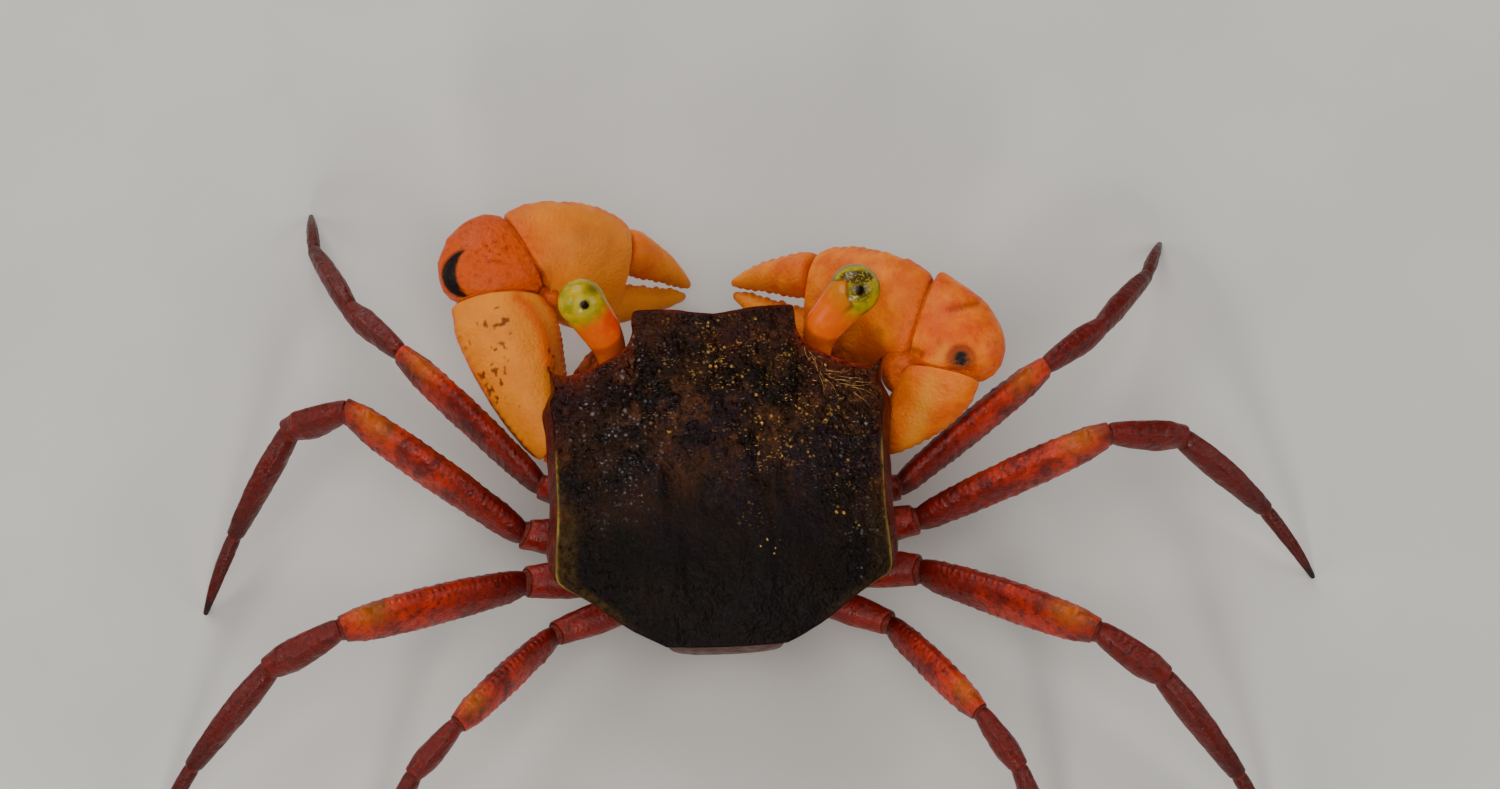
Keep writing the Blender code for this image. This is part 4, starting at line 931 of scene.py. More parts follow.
def back_detail(back, s, t):
    """Relief and masks of the back, whose points lie at s and t."""
    x, y = back[:, 0], back[:, 1]
    spots, radius, height, gold_glint, pale = granule_spots(np.random.default_rng(SEED))
    flat = np.column_stack([back[:, :2], np.zeros(len(back))])
    number, distance = nearest_spot(flat, np.column_stack([spots, np.zeros(len(spots))]))
    grain = dome(distance, radius[number])
    tops = ease((grain - 0.35) / 0.4)
    from_side = (1 - np.abs(s)) * CARAPACE_WIDTH / 2
    from_front, from_rear = t * BACK_LENGTH, (1 - t) * BACK_LENGTH
    side_rim, front_rim = hump(from_side, MARGINS["side"]), hump(from_front, MARGINS["front"])
    rear_rim = hump(from_rear, MARGINS["rear"])
    calm = 1 - np.maximum(np.maximum(side_rim, front_rim), rear_rim)
    lobes = swell(x, y, FINE_SWELLINGS)
    forward = 1 - ease((y - 1.0) / 5.5)
    rough = noise(back, 1.1, 16) * 0.075 + noise(back, 0.5, 1) * mix(0.035, 0.135, forward)
    rough += noise(back, 0.22, 2) * mix(0.010, 0.034, forward)
    striae = stria_height(x, y)
    bumps = calm * (1.6 * lobes + grain * height[number] + rough + 0.022 * striae)
    bumps += 0.035 * side_rim + 0.045 * front_rim + 0.03 * rear_rim
    bumps *= ease(np.minimum(np.minimum(from_side, from_front), from_rear) / 0.03)

    facet = ease((0.95 * ease((y - 2.6) / 3.2) - from_side) / 0.45) * ease((t - 0.30) / 0.2)
    facet = np.maximum(facet * (1 - ease((t - 0.80) / 0.15)), 0) * np.where(s > 0, 0.85, 0.40)
    rim_fade = 0.25 + 0.75 * ease((np.abs(s) - 0.44) / 0.05)
    shoulders = hump(from_front, 0.55) * ease((np.abs(s) - 0.40) / 0.1)
    rust = noise(back, 0.8, 15) * 0.5 + 0.5
    rust = rust * (shoulders + 0.30 * hump(from_front, 1.6) + 0.5 * hump(from_side, 0.35) * (t < 0.5))
    uneven = 0.45 + 0.55 * ease(noise(back, 0.7, 17) + 0.6)
    pale_side = uneven * side_rim * ease((t - 0.22) / 0.12) * (1 - ease((t - 0.74) / 0.1))
    return bumps, dict(
        # Painted gold glints on granule tops and along the ridges on the right, and painted pale glints
        gold_glint=calm * tops * gold_glint[number] + 0.08 * striae * (s < 0) * (noise(back, 0.2, 8) > 0.1),
        pale=calm * tops * pale[number],
        # Painted light: where the lumps stand up the back is coloured lighter, most towards the front
        lump_top_light=calm * np.clip(rough / 0.09 - 0.2, 0, 1) * (0.25 + 0.75 * forward),
        # zones of painted silver glints
        silver_glints=calm * in_zones(x, y, SILVER_ZONES),
        hind=0.85 * ease((y - 4.2) / 3.0),
        gold_glint_zone=calm * in_zones(x, y, GOLD_ZONES),
        grain=calm * np.clip(0.20 + 0.7 * forward + 0.4 * ease((np.abs(x) - 3.0) / 2.0), 0, 1),
        red_rim=front_rim * rim_fade * 0.9,
        pale_rim=pale_side * np.where(s > 0, 0.9, 0.45),
        facet=facet,
        # Painted shade: darker in the hollows between the lobes and the lumps
        hollow=np.clip(-lobes / 0.06 - rough / 0.13 - 0.15, 0, 1) * 0.85,
        rust=np.clip(rust, 0, 0.8),
    )


def skirt_detail(skirt, down, along):
    """Relief and masks below the edge: down runs to the lower rim, along counts the points of a ring."""
    columns, rows = BACK_COLUMNS, BACK_ROWS
    is_front = along < columns
    is_rear = (along >= columns + rows) & (along < 2 * columns + rows)
    place = np.where(is_front, np.abs(2 * along / columns - 1), 1.0)
    mouth_side = ease((1.8 - skirt[:, 1]) / 1.0) * ease((down - 0.55) / 0.12)
    bumps = noise(skirt, 0.30, 4) * 0.016 + 0.045 * reticulate(skirt) * mouth_side
    bumps = (bumps + 0.02 * noise(skirt, 0.9, 6)) * ease(down / 0.06)
    bumps += 0.10 * lumps_along(along / columns) * hump(down - 0.30, 0.10) * (is_front & (place < 0.46))
    lip = hump(down, 0.030)
    front_lip = lip * np.where(place > 0.44, 1.0, 0.45)
    under_front = is_front & (place < 0.45)
    return bumps, dict(
        grain=0.25,
        red_rim=np.where(is_front, front_lip, np.where(is_rear, 0.6 * lip, 0)),
        flank=ease((down - 0.02) / 0.05) * np.where(under_front, ease((down - 0.38) / 0.08), 1.0),
        cheek=ease((down - 0.42) / 0.14) * ease((2.4 - skirt[:, 1]) / 1.2),
    )


def carapace_piece(material):
    s, t = np.meshgrid(np.linspace(-1, 1, BACK_COLUMNS + 1), np.linspace(0, 1, BACK_ROWS + 1))
    back = back_points(s, t).reshape(-1, 3)
    rings, levels = skirt_rings()
    ring_size = rings.shape[1]
    faces, left, right = carapace_faces(len(back), ring_size)
    skirt = rings[1:].reshape(-1, 3)
    points = np.vstack([back, skirt])
    middle = (points[left[1:]] + points[right[1:]]) / 2
    mesh = build_mesh("shell_carapace", in_world(np.vstack([points, middle])), faces)
    down = np.repeat(levels[1:], ring_size)
    along = np.tile(np.arange(ring_size), len(levels) - 1)
    back_bumps, back_masks = back_detail(back, s.ravel(), t.ravel())
    skirt_bumps, skirt_masks = skirt_detail(skirt, down, along)

    def joined(on_back, on_skirt):
        parts = ((on_back, back), (on_skirt, skirt), (0.0, middle))
        return np.concatenate([np.broadcast_to(values, len(places)) for values, places in parts])

    raise_surface(mesh, joined(back_bumps, skirt_bumps))
    names = {**back_masks, **skirt_masks}
    paint(mesh, **{name: joined(back_masks.get(name, 0), skirt_masks.get(name, 0)) for name in names})
    add_piece(mesh, material, ["carapace"])


# Rows of golden bristles on the right shoulder: start and end in plan, how many, and their direction
BRISTLE_ROWS = (
    ((-3.20, -0.60), (-3.90, 1.00), 10, (-0.45, 1.0)), ((-3.9, 0.55), (-5.0, 1.35), 9, (-0.9, 0.45)),
    ((-3.7, 0.40), (-5.0, 0.85), 5, (-1.0, 0.20)),
)
BRISTLE_RADIUS = 0.013
BRISTLE_LIFT, BRISTLE_ARCH = 0.02, 0.10  # height over the back, and rise as a share of the length
BRISTLE_SCATTER, BRISTLE_SWING = 0.10, 0.45
BRISTLE_LENGTHS, BRISTLE_BENDS = (0.30, 0.95), (-0.4, 0.4)


def bristle(x, y, direction, length, bend):
    """One hair that leaves the back and lies down again, as rings of points."""
    rings = []
    for share in np.linspace(0, 1, HAIR_ROWS):
        swing = bend * share * share
        px = x + (direction[0] - direction[1] * swing) * length * share
        py = y + (direction[1] + direction[0] * swing) * length * share
        rise = BRISTLE_ARCH * length * math.sin(math.pi * share * 0.9)
        pz = float(back_height(np.array(px), np.array(py))) + BRISTLE_LIFT + rise
        radius = BRISTLE_RADIUS * (1 - 0.7 * share)
        across = np.array((-direction[1], direction[0], 0)) * radius
        rings.append(section((px, py, pz), across, (0, 0, radius), HAIR_SIDES))
    return np.stack(rings)


def bristles_piece(material):
    random = np.random.default_rng(SEED + 1)
    points, faces = [], []
    for start, end, count, way in BRISTLE_ROWS:
        for k in range(count):
            root = mix(np.array(start), np.array(end), (k + random.uniform(0, 0.8)) / count)
            root = root + random.uniform(-BRISTLE_SCATTER, BRISTLE_SCATTER, 2)
            turn = math.atan2(way[1], way[0]) + random.uniform(-BRISTLE_SWING, BRISTLE_SWING)
            direction = (math.cos(turn), math.sin(turn))
            length, bend = random.uniform(*BRISTLE_LENGTHS), random.uniform(*BRISTLE_BENDS)
            hair, hair_faces = closed_tube(bristle(*root, direction, length, bend))
            first = sum(len(p) for p in points)
            points.append(hair)
            faces += [tuple(corner + first for corner in face) for face in hair_faces]
    mesh = build_mesh("shell_bristles", in_world(np.vstack(points)), faces)
    add_piece(mesh, material)


# Thorax, tail and mouthparts

def thorax_ring(y, fineness):
    top_half, low_half, low = thorax_at(y)
    side_low = low + STERNUM_EDGE
    wall = [(mix(top_half, low_half, d), mix(THORAX_TOP, side_low, d)) for d in (0.02, 0.35, 0.7, 0.97)]
    groove = spline(GROOVE, y)[0] + GAP * 1.2
    fade = ease((y - GROOVE_TAIL) / (THORAX[-1][0] - GROOVE_TAIL))
    deep = mix(GROOVE_DEPTH, GROOVE_END, fade) if y > GROOVE_START else STERNUM_EDGE
    half = wall + [(mix(low_half, groove, 0.5), low), (groove, low), (groove - STERNUM_EDGE, low + deep)]
    mirrored = [(-x, z) for x, z in reversed(half)]
    outline = np.array([(0.0, THORAX_TOP)] + half + [(0.0, low + deep)] + mirrored)
    outline = np.vstack([outline, outline[:1]])
    length = np.concatenate([[0], np.cumsum(np.hypot(*np.diff(outline, axis=0).T))])
    at = np.linspace(0, length[-1], fineness + 1)[:-1]
    return np.stack([np.interp(at, length, outline[:, 0]), np.full(fineness, y),
                     np.interp(at, length, outline[:, 1])], axis=-1)


def thorax_piece(material):
    ys = np.linspace(THORAX[0][0], THORAX[-1][0], THORAX_ROWS)
    rings = np.stack([thorax_ring(y, THORAX_SIDES) for y in ys])
    for _ in range(3):
        rings = rings / 2 + (np.roll(rings, 1, axis=1) + np.roll(rings, -1, axis=1)) / 4
    mesh = build_mesh("shell_thorax", *closed_tube(in_world(rings)))
    x, y, z = rings.reshape(-1, 3).T
    seams = [(a + b) / 2 for a, b in zip(ROOT_Y, ROOT_Y[1:])]
    bowed = y - 0.10 * np.abs(x)
    groove = sum(hump(bowed - seam, 0.09) for seam in seams) * ease((-4.6 - z) / 0.6)
    raise_surface(mesh, capped(-0.09 * groove + 0.02 * noise(rings.reshape(-1, 3), 0.4, 9)))
    paint(mesh, deep=capped(groove))
    add_piece(mesh, material, ["thorax"])


def rounded_places(rows, crowd):
    """Places from 0 to 1, closer together at both ends."""
    ends = crowd * np.array((0.0, 0.08, 0.22, 0.45))
    return np.concatenate([ends, np.linspace(0, 1, rows)[1:-1], 1 - ends[::-1]])


def rounding(place, span, least):
    """How full a piece is at a place between 0 and 1 when both its ends are rounded over the span."""
    close = min(place, 1 - place) / span
    return math.sqrt(max(least, 1 - max(0.0, 1 - close) ** 2))


def tail_piece(material):
    places = np.linspace(0, 1, TAIL_ROWS)
    rings = []
    for place in places:
        y, z, half = spline(PLEON_LINE, place)
        ahead, behind = spline(PLEON_LINE, min(place + 0.01, 1)), spline(PLEON_LINE, max(place - 0.01, 0))
        along = Vector((0, *(ahead - behind)[:2])).normalized()
        outward = along.cross(Vector((1, 0, 0))).normalized()
        near = min(abs(place - seam) for seam in PLEON_SEAMS)
        dip = 0.10 * (1 - ease(near / 0.012))
        pinch = 1 - 0.035 * (1 - ease(near / 0.015))
        round_end = min(1.0, rounding(place, 0.012, 0.0) + 0.05)
        tall = outward * (PLEON_THICKNESS / 2 - dip / 2) * round_end
        centre = Vector((0, y, z)) - outward * (dip / 2)
        rings.append(section(centre, (half * pinch * round_end, 0, 0), tall, TAIL_SIDES, power=2.8))
    rings = np.stack(rings)
    mesh = build_mesh("shell_tail", *closed_tube(in_world(rings)))
    near = np.abs(places[:, None] - np.array(PLEON_SEAMS)).min(axis=1)
    seam = np.repeat(hump(near, 0.009), TAIL_SIDES)
    upper = np.repeat(1 - ease((places - 0.14) / 0.16), TAIL_SIDES)
    raise_surface(mesh, capped(0.014 * noise(rings.reshape(-1, 3), 0.35, 11)))
    paint(mesh, deep=capped(np.maximum(seam, upper)), dark=capped(0.85 * upper))
    add_piece(mesh, material, ["pleon"])


def maxilliped_piece(side, word, material):
    """A third maxilliped with the groove and the joint between its two broad plates."""
    places = rounded_places(MOUTH_ROWS, crowd=0.05)
    rings = []
    for place in places:
        z, half, x, thick = spline(MAXILLIPED, place)
        fullness = rounding(place, 0.05, 0.02)
        rings.append(section((side * x, MAXILLIPED_Y, z), (half * fullness, 0, 0), (0, thick * fullness, 0),
                             MOUTH_SIDES, power=2.6))
    rings = np.stack(rings)
    mesh = build_mesh(f"mouth_{word}", *closed_tube(in_world(rings)))
    flat = rings.reshape(-1, 3)
    share = np.repeat(places, MOUTH_SIDES)
    outward = flat[:, 0] * side - np.repeat(spline(MAXILLIPED, places)[:, 2], MOUTH_SIDES)
    joint = hump(share - 0.60, 0.012)
    groove = hump(outward + 0.18, 0.09) * ease((0.58 - share) / 0.05) * ease((share - 0.06) / 0.08)
    face = ease((MAXILLIPED_Y - flat[:, 1]) / 0.15)
    heights = face * (-0.07 * joint - 0.06 * groove) + 0.012 * noise(flat, 0.25, 12)
    raise_surface(mesh, capped(heights))
    paint(mesh, deep=capped(np.maximum(joint, groove) * face))
    add_piece(mesh, material, [f"maxilliped_{word}"])


# Eyes and antennae

CORNEA_ARC = (-13, 88)  # degrees from the ball's widest ring, towards the stalk and towards its pole


def tube_rings(line, places, sides, swelling=lambda place: 0.0):
    """Rings at places round a curved middle line with rows of (place, x, y, z, radius)."""
    rings = []
    for place in places:
        x, y, z, radius = spline(line, place)
        ahead, behind = spline(line, min(place + 0.02, 1.0)), spline(line, max(place - 0.02, 0.0))
        along = Vector((ahead - behind)[:3]).normalized()
        wide = along.cross(UP).normalized()
        tall = wide.cross(along)
        size = radius * (1 + swelling(place))
        rings.append(section((x, y, z), wide * size, tall * size, sides))
    return np.stack(rings)


def eye_points(side):
    """The stalk and the round cornea as one surface: points, faces and the number of each point's ring."""
    ball = Vector(EYE_CENTRE[side]) * Vector((side, 1, 1))
    full = CORNEA_RADIUS[side]
    middle = (1.0, *ball, full)
    place, radius = STALK_END
    below = (place, *spline(EYE_STALK + (middle,), place)[:3], radius)
    stalk = tube_rings(EYE_STALK + (below, middle), np.linspace(0, place, STALK_ROWS), EYE_SIDES)
    along = (ball - Vector(below[1:4])).normalized()
    wide = along.cross(UP).normalized()
    tall = wide.cross(along)
    cornea = []
    for degrees in np.linspace(*CORNEA_ARC, CORNEA_ROWS):
        angle = math.radians(degrees)
        size = full * math.cos(angle)
        centre = ball + along * full * math.sin(angle)
        cornea.append(section(centre, wide * size, tall * size, EYE_SIDES))
    rings = np.concatenate([stalk, np.stack(cornea)])
    points, faces = closed_tube(rings, tip=np.array(ball + along * full))
    numbers = np.append(np.repeat(np.arange(len(rings)), EYE_SIDES), (0, len(rings)))
    return points * np.array((side, 1, 1)), faces, numbers


# Marks on each eye as the camera sees it, in shares of its radius: (to the right, up)
PUPILS = {LEFT: (0.17, -0.13), RIGHT: (0.17, -0.06)}
PUPIL_RADIUS = 0.20
OLIVE_STROKE = (0.46, 0.54)
GREY_PATCH = (0.06, 0.46, 0.66, 0.27)  # middle and half axes
RUDDY_SPOT = (613, 322, 13, 16)  # on the left stalk, in the photograph's pixels
STALK_FOOT = 55.0  # rings of the stalk over which its foot's colour fades


def eye_piece(side, word, material):
    """An eye whose orange skin runs from the stalk a little way over the cornea."""
    points, faces, ring = eye_points(side)
    mesh = build_mesh(f"eye_{word}_ball_and_stalk", in_world(points), faces)
    q = (points - np.array(EYE_CENTRE[side])) / CORNEA_RADIUS[side]
    right, up, near = (q @ axis for axis in image_axes())
    is_ball = np.linalg.norm(q, axis=1) < 1.03
    if side == LEFT:
        field = 0.5 * (up - right) + 0.707 * near + 0.62
    else:
        field = np.maximum(right + 0.33 - 0.45 * np.maximum(0, -up - 0.2), up - 0.35)
    cornea = ease(field / 0.05 + 0.5) * is_ball
    away = [np.hypot(right - x, up - y) for x, y in (PUPILS[side], OLIVE_STROKE)]
    seen = ease(near / 0.2)
    pupil = ease((PUPIL_RADIUS + 0.03 - away[0]) / 0.06) * seen
    x, y, wide, tall = GREY_PATCH
    patch = ease((1.15 - np.hypot((right - x) / wide, (up - y) / tall)) / 0.3) * seen * (side == RIGHT)
    ring_light = hump(away[0] - 0.36, 0.12) * seen * (side == LEFT)
    patch = np.maximum(patch, 0.85 * hump(away[0] - 0.26, 0.22) * seen * (side == RIGHT))
    ruddy = spot(in_picture(in_world(points)), *RUDDY_SPOT) * (side == LEFT)
    olive = hump(away[1], 0.30) if side == LEFT else hump(np.hypot(right, up) - 0.98, 0.07)
    base = ease(1 - ring / STALK_FOOT)
    heights = 0.018 * (1 - cornea) * is_ball + 0.012 * (1 - cornea) * noise(points, 0.4, 14)
    raise_surface(mesh, heights)
    paint(mesh, stalk=1 - cornea, line=0.8 * hump(field, 0.055) * is_ball, patch=patch, pupil=pupil,
          band=olive * seen, halo=ring_light, base=base, ruddy=ruddy,
          film=(1 - cornea) * is_ball * (side == RIGHT))
    add_piece(mesh, material, [f"eye_{word}"])


def antenna_piece(side, word, material):
    def joints(place):
        flagellum = float(ease((place - 0.45) / 0.05))
        near = min(abs(place - k) for k in (0.16, 0.32, 0.45))
        beads = 0.10 * flagellum * math.sin(place * 2 * math.pi * 26)
        return beads - 0.25 * (1 - flagellum) * hump(near, 0.012)

    rings = tube_rings(ANTENNA_LINE, np.linspace(0, 1, FEELER_ROWS), FEELER_SIDES, joints)
    points, faces = closed_tube(rings)
    mesh = build_mesh(f"antenna_{word}_feeler", in_world(points * np.array((side, 1, 1))), faces)
    add_piece(mesh, material, [f"antenna_{word}"])


# Limbs

def lean_to(vector, direction, normal):
    """The vector slid along the direction into the plane across the normal."""
    return vector - direction * (vector.dot(normal) / direction.dot(normal))


LIMB_MASKS = ("deep", "mottle", "cream", "speck", "dark", "black")


def blank_masks(zero, **known):
    return {**dict.fromkeys(LIMB_MASKS, zero), **known}


class Sweep:
    """A limb piece as rings: at(share) gives a ring's centre, half axes, power and keel."""

    def __init__(self, at, length):
        self.at, self.length = at, length

    def ring(self, share, scale=1.0, sides=LIMB_SIDES):
        centre, wide, tall, power, keel = self.at(share)
        return section(centre, wide * scale, tall * scale, sides, power, keel)


# How a piece begins and ends: (millimetres past its end, scale). It begins as a neck and ends as a cup.
NECK = ((0.12, 0.34), (0.15, 0.60), (0.13, 0.74), (0.09, 0.85), (0.03, 0.92), (-0.06, 0.97), (-0.18, 0.995))
CUP = ((-0.24, 1.0), (-0.12, 1.015), (-0.02, 1.02), (0.06, 1.005), (0.10, 0.965), (0.10, 0.91), (0.05, 0.85),
       (-0.02, 0.78), (-0.04, 0.60), (-0.04, 0.35))
ROUND_TIP = ((-0.10, 1.0), (-0.05, 0.96), (-0.015, 0.82), (0.0, 0.55), (0.005, 0.25))
END_MARGIN, TIP_MARGIN = 0.32, 0.11  # millimetres that those rings take up of the piece


def sweep_rows(sweep, rows, tip):
    """Shares, scales and how much detail each ring takes."""
    margin = END_MARGIN / sweep.length
    start = [(-past / sweep.length, scale, 0.0) for past, scale in NECK]
    last = ROUND_TIP if tip else CUP
    end = [(1 + past / sweep.length, scale, 0.0) for past, scale in last]
    end_margin = (TIP_MARGIN if tip else END_MARGIN) / sweep.length
    middle = []
    for share in np.linspace(margin, 1 - end_margin, rows):
        before_end = 1 if tip else ease((1 - end_margin - share) / end_margin)
        middle.append((share, 1.0, float(min(ease((share - margin) / margin), before_end))))
    return start + middle + end


def limb_piece(name, sweep, material, node, detail, rows, tip=False, foot=None, sides=LIMB_SIDES):
    """One piece of a limb. detail gives heights, a push along the piece and masks for the points."""
    plan = sweep_rows(sweep, rows, tip)
    rings = np.stack([sweep.ring(share, scale, sides) for share, scale, _ in plan])
    if foot is not None:
        rings = np.concatenate([rings[:-len(ROUND_TIP)], foot])
        plan = plan[:len(rings)]
    points, faces = closed_tube(rings)
    mesh = build_mesh(name, points, faces)
    share = np.repeat([p[0] for p in plan], sides)
    weight = np.repeat([p[2] for p in plan], sides)
    angle = np.tile(ring_angles(sides), len(plan))
    flat = rings.reshape(-1, 3)
    centres = np.repeat(rings.mean(axis=1), sides, axis=0)
    outward = (flat - centres) / np.maximum(np.linalg.norm(flat - centres, axis=1), 1e-6)[:, None]
    shown = ease((outward @ np.array(camera_direction()) + 0.1) / 0.4)
    heights, push, masks = detail(share, angle, flat, shown)
    first, last = Vector(rings[0].mean(axis=0)), Vector(rings[-1].mean(axis=0))
    way = np.array((last - first).normalized())
    raise_surface(mesh, capped(heights * weight), np.outer(capped(push * weight), way))
    paint(mesh, **{key: capped(np.broadcast_to(mask, share.shape)) for key, mask in masks.items()})
    add_piece(mesh, material, [node])


TIE = 1e-6  # ways to line up two rings that differ by less are equally good


def aligned(ring, other):
    """The ring started and turned so that its points face the other's, the first of equally good ways."""
    best = None
    for candidate in (ring, ring[::-1]):
        for turn in range(0, len(ring), 2):
            turned = np.roll(candidate, turn, axis=0)
            size = np.abs(turned - other).sum()
            if best is None or size < best[0] - TIE:
                best = (size, turned)
    return best[1]


def membrane_piece(name, before, after, material):
    """The soft skin of a joint, from inside the cup of one piece to the neck of the next."""
    first = before.ring(1 - 0.10 / before.length, 0.83)
    last = aligned(after.ring(0.06 / after.length, 0.80), first)
    rings = []
    for k in range(JOINT_ROWS + 1):
        share = k / JOINT_ROWS
        ring = mix(first, last, share)
        middle = ring.mean(axis=0)
        fold = 1 + 0.05 * math.sin(math.pi * share) + 0.018 * math.sin(share * math.pi * 9)
        rings.append(middle + (ring - middle) * fold)
    mesh = build_mesh(name, *closed_tube(np.stack(rings)))
    add_piece(mesh, material)


def top_ness(angle, around=90, sharp=30):
    """1 on the line of a piece at that angle round it, fading to either side."""
    return np.clip(np.cos(angle - math.radians(around)), 0, 1) ** sharp


def scaled(girth, scale):
    return [(place, wide * scale, tall * scale) for place, wide, tall in girth]


def mitred_sweep(start, end, start_normal, end_normal, up, girth, bow=0.0, keel=0.0):
    direction = (end - start).normalized()
    side = direction.cross(up).normalized()
    top = side.cross(direction).normalized()
    start = start + direction * (GAP / 2 / abs(direction.dot(start_normal)))
    end = end - direction * (GAP / 2 / abs(direction.dot(end_normal)))
    wide_ends = [lean_to(side, direction, n) for n in (start_normal, end_normal)]
    tall_ends = [lean_to(top, direction, n) for n in (start_normal, end_normal)]

    def at(share):
        half_wide, half_tall = spline(girth, share)
        centre = mix(start, end, share) + top * (bow * math.sin(math.pi * share))
        wide, tall = mix(*wide_ends, share) * half_wide, mix(*tall_ends, share) * half_tall
        return centre, wide, tall, LIMB_POWER, keel

    return Sweep(at, (end - start).length)


def off_the_wall(point, direction):
    """How far the point slides along direction until it stands GAP off the thorax wall."""
    def distance(share):
        place = BODY_BACK @ (point + direction * share)
        top_half, low_half, low = thorax_at(place.y)
        down = (THORAX_TOP - place.z) / (THORAX_TOP - low - STERNUM_EDGE)
        return abs(place.x) - mix(top_half, low_half, down) - GAP * 1.2

    near, far = -3.0, 3.0
    for _ in range(30):
        middle = (near + far) / 2
        if distance(middle) < 0:
            near = middle
        else:
            far = middle
    return far


def root_of(side, place):
    return BODY @ Vector((side * thorax_at(ROOT_Y[place])[0], ROOT_Y[place], ROOT_HEIGHT))


SEAT_ROWS, SEAT_INSET = 14, 0.9  # rows over which a base passes into its seat, and the seat's inner ring


def base_piece(name, end, end_normal, side, place, girth, scale, look, node):
    """A limb's first piece, its root cut to the thorax wall."""
    root = root_of(side, place)
    direction = (end - root).normalized()
    sweep = mitred_sweep(root, end, direction, end_normal, UP, scaled(girth, scale))
    rings = [sweep.ring(share, scale) for share, scale, _ in sweep_rows(sweep, BASE_ROWS, False)[len(NECK):]]
    seat = rings[0]
    seat = np.array([Vector(p) + direction * off_the_wall(Vector(p), direction) for p in seat])
    inner = mix(seat.mean(axis=0), seat, SEAT_INSET)
    rings = np.stack([inner] + [mix(seat, ring, ease(k / SEAT_ROWS)) for k, ring in enumerate(rings)])
    points, faces = closed_tube(rings)
    mesh = build_mesh(name, points, faces)
    calm = np.repeat([0.0] + [1.0] * BASE_ROWS + [0.0] * (len(rings) - 1 - BASE_ROWS), LIMB_SIDES)
    raise_surface(mesh, capped(calm * 0.02 * noise(rings.reshape(-1, 3), 0.3, 21)))
    paint(mesh, deep=np.full(len(points), 0.7), mottle=np.full(len(points), 0.6))
    add_piece(mesh, look, [node])
    return sweep


def bead_row(along, spacing):
    """Round beads along a piece, from 0 between them to 1 on their tops."""
    return 0.5 + 0.5 * np.sin(2 * math.pi * along / spacing)


def leg_detail(piece, scale, length):
    """Relief and marks of one piece of a walking leg, with a painted highlight on top of the merus near the
    knee.
    """
    def detail(share, angle, points, _):
        heights = 0.018 * noise(points, 0.30, 31) + 0.010 * noise(points, 0.13, 32)
        push = np.zeros_like(share)
        along = share * length
        beads = bead_row(along, 0.24)
        masks = blank_masks(np.zeros_like(share), mottle=0.75)
        if piece == "merus":
            faces = 1 - top_ness(angle, 90, 4) - top_ness(angle, -90, 4)
            scales = np.maximum(0, np.sin(2 * math.pi * (along / 0.42 + 0.35 * noise(points, 0.5, 33)))) ** 3
            heights += 0.030 * faces * scales + 0.05 * beads * top_ness(angle, 90, 60)
            heights += 0.03 * beads * (top_ness(angle, -68, 80) + top_ness(angle, -112, 80))
            tooth = hump((share - SPINE_PLACE) * length, 0.17) * top_ness(angle, 90, 26)
            heights += SPINE_RISE * scale * tooth
            push += SPINE_LEAN * scale * tooth
            masks["deep"] = 0.85 * (1 - ease((share - 0.15) / 0.5))
            # Painted highlight: pale on the top of the merus near the knee
            masks["cream"] = 0.30 * hump(share - 0.86, 0.10) * top_ness(angle, 90, 2)
            masks["dark"] = 0.55 * ease((0.10 - share) / 0.1)
        elif piece == "carpus":
            heights += 0.06 * (top_ness(angle, 62, 60) + top_ness(angle, 118, 60))
            heights += 0.03 * beads * top_ness(angle, 90, 30)
            masks.update(deep=0.9, dark=0.25)
        elif piece == "propodus":
            ridges = top_ness(angle, 60, 60) + top_ness(angle, 120, 60) + top_ness(angle, -60, 60)
            heights += 0.045 * ridges
            masks.update(deep=1.0, dark=0.35 + 0.4 * ease((share - 0.5) / 0.5))
        else:
            heights = heights * (1 - share) + 0.018 * np.cos(6 * angle) * (1 - ease((share - 0.7) / 0.25))
            masks.update(deep=1.0, dark=0.6, black=0.85 * ease((share - 0.74) / 0.14))
        return heights, push, masks
    return detail


def foot_rings(ring, tip):
    """The claw's last rings, down to its flat on the floor."""
    flat = section(tip, Vector((FOOT_FLAT, 0, 0)), Vector((0, FOOT_FLAT, 0)), LIMB_SIDES)
    flat = aligned(flat, ring)
    return np.stack([mix(ring, flat, share) for share in (0.35, 0.7, 0.92, 1.0)])


def leg_pieces(name, side, word, look, skin):
    joints = [Vector((side * x, y, z)) for x, y, z in LEGS[name, side]]
    place = int(name[3])
    scale = LEG_SCALE[name]
    path = [root_of(side, place)] + joints
    ways = [(b - a).normalized() for a, b in zip(path, path[1:])]
    normals = [ways[0]] + [(a + b).normalized() for a, b in zip(ways, ways[1:])] + [ways[-1]]
    prefix = f"{name}_{word}"
    before = base_piece(f"{prefix}_base_shell", path[1], normals[1], side, place, LEG_GIRTH["base"], scale,
                        look, f"{prefix}_base")
    for k, piece in enumerate(("merus", "carpus", "propodus"), start=1):
        sweep = mitred_sweep(path[k], path[k + 1], normals[k], normals[k + 1], UP,
                             scaled(LEG_GIRTH[piece], scale), bow=LEG_BOW[piece],
                             keel=MERUS_KEEL if piece == "merus" else 0.0)
        limb_piece(f"{prefix}_{piece}_shell", sweep, look, f"{prefix}_{piece}",
                   leg_detail(piece, scale, sweep.length), LEG_ROWS[piece])
        membrane_piece(f"{prefix}_{piece}_joint", before, sweep, skin)
        before = sweep
    start, tip = path[4], path[5]
    way = (tip - start).normalized()
    claw = mitred_sweep(start, tip + way * GAP / 2, normals[4], way, UP,
                        scaled(LEG_GIRTH["dactylus"], scale), bow=LEG_BOW["dactylus"])
    limb_piece(f"{prefix}_dactylus_claw", claw, look, f"{prefix}_dactylus",
               leg_detail("dactylus", scale, claw.length), LEG_ROWS["dactylus"], tip=True,
               foot=foot_rings(claw.ring(0.96), tip))
    membrane_piece(f"{prefix}_dactylus_joint", before, claw, skin)


